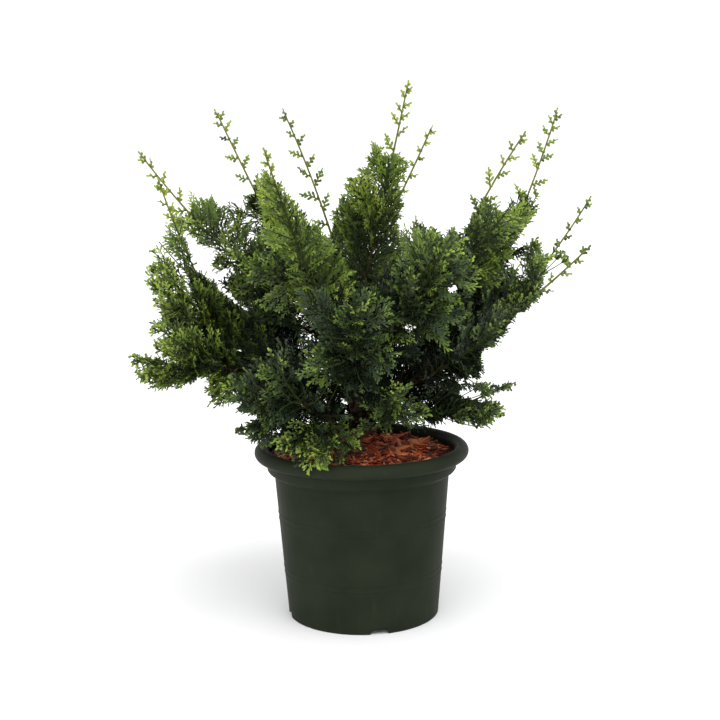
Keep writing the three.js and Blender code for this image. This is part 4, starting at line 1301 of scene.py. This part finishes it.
def straps(roots, headings, lengths, widths, random):
    """Blunt folded leaves of three triangles each: two root corners, two at the waist, and the tip"""
    across = np.stack([-headings[:, 1], headings[:, 0], 0 * headings[:, 0]], 1)
    across /= np.linalg.norm(across, axis=1)[:, None]
    lift = np.cross(headings, across)
    roll = np.radians(random.uniform(-LEAF_ROLL, LEAF_ROLL, len(roots)))[:, None]
    side = across * np.cos(roll) + lift * np.sin(roll)
    fold = lift * np.cos(roll) - across * np.sin(roll)
    half = widths[:, None] / 2
    waists = roots + headings * (lengths * LEAF_WAIST)[:, None] + fold * half * LEAF_FOLD
    tips = roots + headings * lengths[:, None]
    foot = side * half * LEAF_ROOT
    return np.stack([roots - foot, roots + foot, waists + side * half, tips, waists - side * half], 1)


def turned_flat(headings, angle):
    """Headings turned within the fan's plane"""
    cosine = np.cos(angle)
    sine = np.sin(angle)
    x, y, z = headings[..., 0], headings[..., 1], headings[..., 2]
    flat = np.stack([x * cosine - y * sine, x * sine + y * cosine, z], -1)
    return flat / np.linalg.norm(flat, axis=-1)[..., None]


def branchlets(length, form, random):
    """A fan's branchlets: where each leaves the spine, its side, its angle, its reach and its rise"""
    size = ramp(SMALL_FAN, LARGE_FAN, length)
    count = max(LEAST_BRANCHLETS, int(length * (1 - FAN_START) / mix(*form["steps"], size)))
    order = np.arange(count)
    places = (order + random.uniform(-BRANCHLET_PLAY, BRANCHLET_PLAY, count)) / count
    share = np.clip(FAN_START + (1 - FAN_START) * places, *BRANCHLET_ENDS)[:, None]
    side = np.where(order % 2, 1, -1)[:, None]
    angle = np.radians(mix(*BRANCHLET_ANGLES, share) + random.normal(0, BRANCHLET_ANGLE_PLAY, (count, 1)))
    reach = mix(*form["shares"], size) * length * np.interp(share, *zip(*FAN_OUTLINE))
    reach = np.maximum(form["least"], reach * random.uniform(*BRANCHLET_REACH_PLAY, (count, 1)))
    return share, side, angle, reach, random.normal(0, BRANCHLET_LIFT, (count, 1))


def make_fan(spray, random, view):
    """One fan in its place: its leaves, how far out and on which branchlet each is, and its stalk"""
    length = spray["length"]
    form = NUB_FORM if spray.get("nub") else FAN_FORM
    wide = form["width"]
    droop = random.uniform(*FAN_DROOP)
    cup = random.uniform(*FAN_CUP)
    shape = {"droop": droop, "cup": cup, "sway": random.normal(0, FAN_SWAY)}
    share, side, angle, reach, rise = branchlets(length, form, random)
    count = len(share)
    single = reach < form["single"]
    nodes = np.where(single, 1, np.maximum(2, np.round(reach / SPRIG_STEP))).astype(int)
    step = np.arange(nodes.max())[None, :]

    def placed(points):
        return bent_plane(points, length, shape) @ spray["frame"] + spray["root"]

    def on_branchlets(travel):
        bent = angle - BRANCHLET_CURL * travel
        out = reach * travel
        points = np.stack([share * length + out * np.cos(bent), side * out * np.sin(bent), out * rise], -1)
        onward = bent - BRANCHLET_CURL * travel
        heading = np.stack([np.cos(onward), side * np.sin(onward), rise + 0 * onward], -1)
        return points, heading / np.linalg.norm(heading, axis=-1)[..., None]

    spine_points, spine_heading = on_branchlets(step / nodes)
    travel = (step + SPRIG_ROOT) / nodes
    points, heading = on_branchlets(travel)
    long = np.clip(reach * mix(*SPRIG_SHARES, travel), *SPRIG_LENGTHS)
    long = long * random.uniform(*SPRIG_LENGTH_PLAY, travel.shape)
    turn = np.radians(SPRIG_ANGLE) * np.where(step % 2, 1, -1)
    sprig = turned_flat(heading, turn + random.normal(0, SPRIG_ANGLE_PLAY, travel.shape))
    sprig[..., 2] += random.normal(0, SPRIG_LIFT, travel.shape)
    sprig /= np.linalg.norm(sprig, axis=-1)[..., None]

    kept = step < nodes
    shown = kept
    cut = 1.0
    if view is not None:
        shift = random.uniform(-OUTLINE_PLAY, OUTLINE_PLAY, (count, 1, 2))
        kept = kept & np.logical_and.accumulate(view.keeps(placed(spine_points), shift), axis=1)
        stops = np.append(share[:, 0], 1.0)
        line = np.stack([stops * length, 0 * stops, 0 * stops], 1)
        along = np.logical_and.accumulate(view.keeps(placed(line), np.zeros((count + 1, 2))))
        kept = kept & along[:-1, None]
        shown = kept & view.keeps(placed(points + sprig * (SPRIG_TEST * long)[..., None]), shift)
        cut = float(stops[along].max()) if along[0] else 0
    if not kept.any():
        return None

    many = ~single
    split = many & shown & (long > LOBED_SPRIG)
    last = kept & many & (step == nodes - 1)
    spine = kept & many & (step % 2 == 0)
    pitches = (reach / nodes + 0 * travel) * SPINE_LEAF["pitches"]
    # Each group of leaves with its lightness: painted shade along branchlets, painted light further out
    groups = [
        (spine, spine_points, spine_heading, pitches, SPINE_LEAF["width"], SPINE_LEAF["lighter"]),
        (last, points, heading, END_LEAF["length"] + 0 * travel, wide, END_LEAF["lighter"]),
    ]
    for at, turn, part, width, lighter, lobe in SPRIG_LEAVES:
        chosen = split if lobe else shown & many
        roots = points + sprig * (at * long)[..., None]
        heading = turned_flat(sprig, np.radians(turn)) if turn else sprig
        groups.append((chosen, roots, heading, long * part, wide * width, lighter))
    groups.append((kept & single, spine_points, spine_heading, reach + 0 * travel, form["short"],
                   SINGLE_LEAF["lighter"]))

    # How far out each leaf sits: partly the paler young edge, partly painted shade towards the fan's base
    by_spine, by_branchlet = OUTWARD_SHARES
    far = np.clip(by_spine * share + by_branchlet * travel * mix(OUTWARD_BASE, 1, share), 0, 1)
    branch = np.repeat(np.arange(count)[:, None], travel.shape[1], axis=1)
    leaves = []
    outs = []
    branches = []
    for chosen, roots, headings, longs, width, lighter in groups:
        widths = width * np.clip(longs[chosen] / LEAF_WIDE_LENGTH, LEAF_NARROWEST, 1)
        leaves.append(straps(roots[chosen], headings[chosen], longs[chosen], widths, random))
        outs.append(far[chosen] + lighter)
        branches.append(branch[chosen])
    if cut == 1:
        root = np.array([[TIP_LEAF["at"] * length, 0, 0]])
        leaves.append(straps(root, UNIT_X[None], np.array([TIP_LEAF["length"]]), np.array([wide]), random))
        outs.append([TIP_LEAF["outward"]])
        branches.append([count - 1])
    stalk = np.linspace(0, cut * length, STALK_POINTS)[:, None] * UNIT_X
    return placed(np.concatenate(leaves)), np.concatenate(outs), np.concatenate(branches), placed(stalk)


def make_nubs(shoot, size, random):
    """Short side sprigs along a slim leader, one after the other on alternate sides, and its tip"""
    curve = shoot["curve"]
    lowest = 1 - shoot["leader"] / curve.length - NUB_LOWEST
    nub = {"back": 0, "nub": True, "main": False}
    sprays = []
    back = NUB_FIRST
    side = 1 if random.random() < 0.5 else -1
    while back < shoot["leader"] + NUB_PITCH:
        share = max(lowest, 1 - back / curve.length)
        root = curve.point(share)
        along = curve.tangent(share)
        face = spray_frame(root, along, random.normal(0, NUB_TURN_PLAY), NUB_FACE)[2]
        angle = math.radians(random.uniform(*NUB_ANGLES))
        axis = unit(along * math.cos(angle) + np.cross(face, along) * side * math.sin(angle))
        growth = min(1, back / NUB_GROWTH)
        length = max(NUB_LENGTHS[0], size * mix(*NUB_LENGTHS, growth) * random.uniform(*NUB_LENGTH_PLAY))
        tilt = random.normal(0, NUB_TILT_PLAY)
        sprays.append({**nub, "root": root, "axis": axis, "length": length, "face": face, "tilt": tilt})
        back += NUB_PITCH * random.uniform(*NUB_PITCH_PLAY) * mix(NUB_TIP_PITCH, 1, growth)
        side = -side
    root = curve.point(1 - LEADER_TIP["back"] / curve.length)
    tip = {**nub, "root": root, "axis": curve.tangent(1), "length": LEADER_TIP["length"], "tilt": 0.0}
    return [*sprays, tip]


def inner_sprays(limb, random):
    """Sprays along a limb, whose leaves are given a dark tone of painted shade"""
    shoot = {"twig": limb["curve"], "steps": limb["steps"], "spread": INNER_SPREAD}
    count = int(limb["curve"].length / INNER_PITCH)
    sprays = []
    for index in range(count):
        back = (index + random.random()) * INNER_PITCH
        turn = SPRAY_TURN * index + 2 * TURN_PLAY * (random.random() - 0.5)
        tilt = BETWEEN_TILT * (random.random() - 0.5)
        spray = one_spray(shoot, back, turn, random.uniform(*INNER_LENGTHS), tilt, False)
        if spray["root"][2] > INNER_LOWEST:
            spray["back"] = INNER_BACK
            sprays.append(spray)
    return sprays


def tones_of(spray, outward, branches, tone, random):
    """Each leaf's tone: lighter when young and to a fan's edge, with play; painted shade by the crown's heart
    """
    from_heart = spray["root"] - CROWN_HEART
    distance = float(np.linalg.norm(from_heart))
    young = YOUNG_TONE * math.exp(-max(0, spray["back"]) / YOUNG_LENGTH)
    inner = INNER_SHADE * ramp(*INNER_SHADE_REACH, distance)
    under = UNDER_SHADE * ramp(*UNDER_SHADE_TURN, float(spray["axis"] @ unit(from_heart)))
    layer = LEADER_TONE if spray.get("free") else MAIN_TONE if spray["main"] else -BETWEEN_TONE
    level = tone + layer + young - inner - under + OUTWARD_TONE * (outward - 0.5) + random.normal(0, FAN_PLAY)
    level = level + random.normal(0, BRANCHLET_TONE_PLAY, branches.max() + 1)[branches]
    level = level + random.normal(0, LEAF_TONE_PLAY, len(outward))
    return np.clip(level * len(TONES), 0, len(TONES) - 1).astype(int)


def rooms(grown, limbs):
    """What each mass's sprays have to keep clear of: the limbs, and the other masses more than their own"""
    lines = [spaced(limb["curve"], LIMB_TEST_STEP) for limb in limbs]
    radii = [limb["radius_at"](np.linspace(0, 1, len(line))) for limb, line in zip(limbs, lines)]
    bars = (np.concatenate(lines), np.concatenate(radii))
    masses = []
    for shoots in grown:
        masses.append(np.concatenate([spaced(shoot["curve"], SHOOT_TEST_STEP) for shoot in shoots]))
    for index, own in enumerate(masses):
        yield {"limbs": bars, "own": own, "others": np.concatenate(masses[:index] + masses[index + 1:])}


def mass_fans(spec, shoots, room, seeded, random, whole, lace):
    """The fans of one mass as spray, tone and view; its shoots get what shows of them"""
    fans = []
    for order, shoot in enumerate(shoots):
        key = (spec[0], order)
        view = FrontView(OWN_PLUMES[key]) if key in OWN_PLUMES else whole
        # The mass's tone: partly its own green, partly painted light and shade
        tone = spec[-1] - DARKER_SHOOTS.get(key, 0)
        for spray in shoot_sprays(shoot, seeded):
            if fit_spray(spray, room):
                crosses = view is whole and random.random() < LACE_SHARE
                fans.append((spray, tone, lace if crosses else view, random))
        size = FREE_LEADERS.get(key)
        shoot["free"] = bool(size)
        shoot["leaves"] = shown_share(shoot["curve"], view)
        shoot["shown"] = 1.0 if size else shoot["leaves"]
        if size:
            shoot["leader"] = max(shoot["leader"], (1 - shoot["leaves"]) * shoot["curve"].length)
        for spray in make_nubs(shoot, size or 1, random):
            spray["free"] = bool(size)
            fans.append((spray, tone, None if size else view, random))
    return fans


def make_foliage(boughs, trunk):
    """The shoots of each mass, the leaves of each tone, and the stalks of the fans and of the nubs"""
    limbs = [trunk, *boughs]
    grown = [make_shoots(spec, boughs) for spec in MASSES]
    whole = FrontView(PLUMES)
    lace = FrontView(PLUMES, [])
    fans = []
    for index, (spec, shoots, room) in enumerate(zip(MASSES, grown, list(rooms(grown, limbs)))):
        random = np.random.default_rng(MASS_SEED + index)
        for at, tip in FINE_FORKS.get(spec[0], []):
            shoots.append(make_fork(shoots[0], at, tip, FINE_SAG, FINE, FINE_LEADER, FINE_SPREAD))
        fans += mass_fans(spec, shoots, room, Seeded(index + 1), random, whole, lace)
    # Sprays on the limbs, in a dark tone of painted shade
    for index, limb in enumerate(limbs):
        random = np.random.default_rng(INNER_SEED + index)
        for spray in inner_sprays(limb, random):
            rows = spray_frame(spray["root"], spray["axis"], 0)
            if clear_of_pot(spray_corners(rows, spray["root"], spray["length"])).all():
                fans.append((spray, HEART_SHADE_TONE, whole, random))

    leaves = [[] for _ in TONES]
    stalks = []
    nub_stalks = []
    for spray, tone, view, random in fans:
        spray["frame"] = spray_frame(spray["root"], spray["axis"], spray["tilt"], spray.get("face"))
        fan = make_fan(spray, random, view)
        if fan is None:
            continue
        corners, outward, branches, line = fan
        tones = tones_of(spray, outward, branches, tone, random)
        for level in np.unique(tones):
            leaves[level].append(corners[tones == level])
        thick = NUB_STALK if spray.get("nub") else min(1, STALK_THIN + spray["length"] / STALK_GROWTH)
        kind = nub_stalks if spray.get("nub") and view is None else stalks
        kind.append(tube(line, np.linspace(*STALK_RADII, STALK_POINTS) * thick, STALK_SIDES))
    return grown, [np.concatenate(group) for group in leaves], stalks, nub_stalks


def shown_share(curve, view):
    """How far along its curve a stem stays inside the crown's outline"""
    shares = np.linspace(BROWN_SHARE, 1, SHOWN_STEPS)
    inside = view.keeps(curve.points(shares), np.zeros((len(shares), 2)))
    return float(shares[inside].max()) if inside.any() else BROWN_SHARE


def fit_spray(spray, room):
    least = MASS_ROOM if spray["main"] else BETWEEN_ROOM
    rows = spray_frame(spray["root"], spray["axis"], spray["tilt"])
    for size in SPRAY_SIZES:
        length = spray["length"] * size
        if length < SHORTEST_SPRAY:
            return False
        if keeps_its_room(spray_corners(rows, spray["root"], length), room, least):
            spray["length"] = length
            return True
    return False


def add_leaves(leaves, foliage_nodes):
    for (name, tone), corners in zip(TONES, leaves):
        base = np.arange(len(corners))[:, None] * LEAF_CORNERS
        faces = np.concatenate([base + triangle for triangle in LEAF_TRIANGLES])
        new_piece(name, corners.reshape(-1, 3), faces, leaf_material(name, tone), "foliage", foliage_nodes)


def add_twigs(grown, stalks, nub_stalks, foliage_nodes):
    """Stems that are brown at their foot, dim green among the leaves and fresh green along a free leader"""
    kinds = [[], [], list(nub_stalks)]
    for shoot in [shoot for shoots in grown for shoot in shoots]:
        curve = shoot["curve"]
        bare = max(BROWN_SHARE, 1 - shoot["leader"] / curve.length) if shoot["free"] else 1
        young = 0 if shoot["radius"] == FINE["radius"] else BROWN_SHARE
        stops = [0, young, min(bare, shoot["leaves"]), shoot["shown"]]
        for tubes, start, end, (scale, sides) in zip(kinds, stops, stops[1:], STEM_PARTS):
            if end - start < LEAST_STEM_PART:
                continue
            shares = np.linspace(start, end, STEM_POINTS)
            points = curve.points(shares)
            radii = np.interp(shares, STEM_TAPER_AT, [shoot["radius"], shoot["end"], LEADER_END_RADIUS])
            if start == 0:
                points[0] = points[0] - curve.tangent(0) * STEM_BURIED
            tubes.append(tube(points, radii * scale, sides))
    for (name, tints), tubes in zip(TWIG_PIECES, [*kinds, stalks]):
        material = surface(name, tints, **TWIG_SURFACE)[0]
        new_piece(name, *joined(tubes), material, "foliage", foliage_nodes, TWIG_SHARP_ANGLE)


# Floor, light and camera
def make_floor():
    size = FLOOR_HALF
    corners = [(-size, -size, 0), (size, -size, 0), (size, size, 0), (-size, size, 0)]
    floor = in_scene("floor", plain_mesh("floor", corners, [(0, 1, 2, 3)]))
    material, shader, _, _ = surface("floor_pale", FLOOR_TINTS, **FLOOR_SURFACE)
    shader.inputs["Roughness"].default_value = FLOOR_ROUGHNESS
    floor.data.materials.append(material)


def make_sun(name, heading, height, angle, strength):
    data = bpy.data.lights.new(name, "SUN")
    data.angle = math.radians(angle)
    data.energy = strength
    source = Vector(place(heading, math.cos(math.radians(height)), math.sin(math.radians(height))))
    in_scene(name, data).rotation_euler = source.to_track_quat("Z", "Y").to_euler()


def make_camera():
    data = bpy.data.cameras.new("camera")
    data.lens = CAMERA_LENS
    data.sensor_width = SENSOR
    data.clip_end = CAMERA_FAR
    camera = in_scene("camera", data)
    camera.matrix_world = camera_matrix()
    bpy.context.scene.camera = camera


def make_world():
    """A white studio: bright walls all round and a dimmer ceiling"""
    world = bpy.data.worlds.new("studio")
    world.use_nodes = True
    background = world.node_tree.nodes["Background"].inputs
    coordinates = add_node(world, "ShaderNodeTexCoord")
    split = add_node(world, "ShaderNodeSeparateXYZ")
    link(world, coordinates.outputs["Generated"], split.inputs["Vector"])
    link(world, colour_ramp(world, split.outputs["Z"], SKY_TINTS), background["Color"])
    background["Strength"].default_value = WORLD_STRENGTH
    bpy.context.scene.world = world
    bpy.context.scene.view_settings.view_transform = "Standard"


# The object, its floor, its light and its camera
trunk = make_trunk()
boughs = [make_bough(spec, trunk) for spec in BOUGHS]
foliage_nodes = ["foliage_" + spec[0] for spec in MASSES]

make_pot()
make_medium()
make_mulch()
make_bark(trunk, boughs)
grown, leaves, stalks, nub_stalks = make_foliage(boughs, trunk)
add_leaves(leaves, foliage_nodes)
add_twigs(grown, stalks, nub_stalks, foliage_nodes)

make_floor()
for spec in SUNS:
    make_sun(*spec)
make_world()
make_camera()
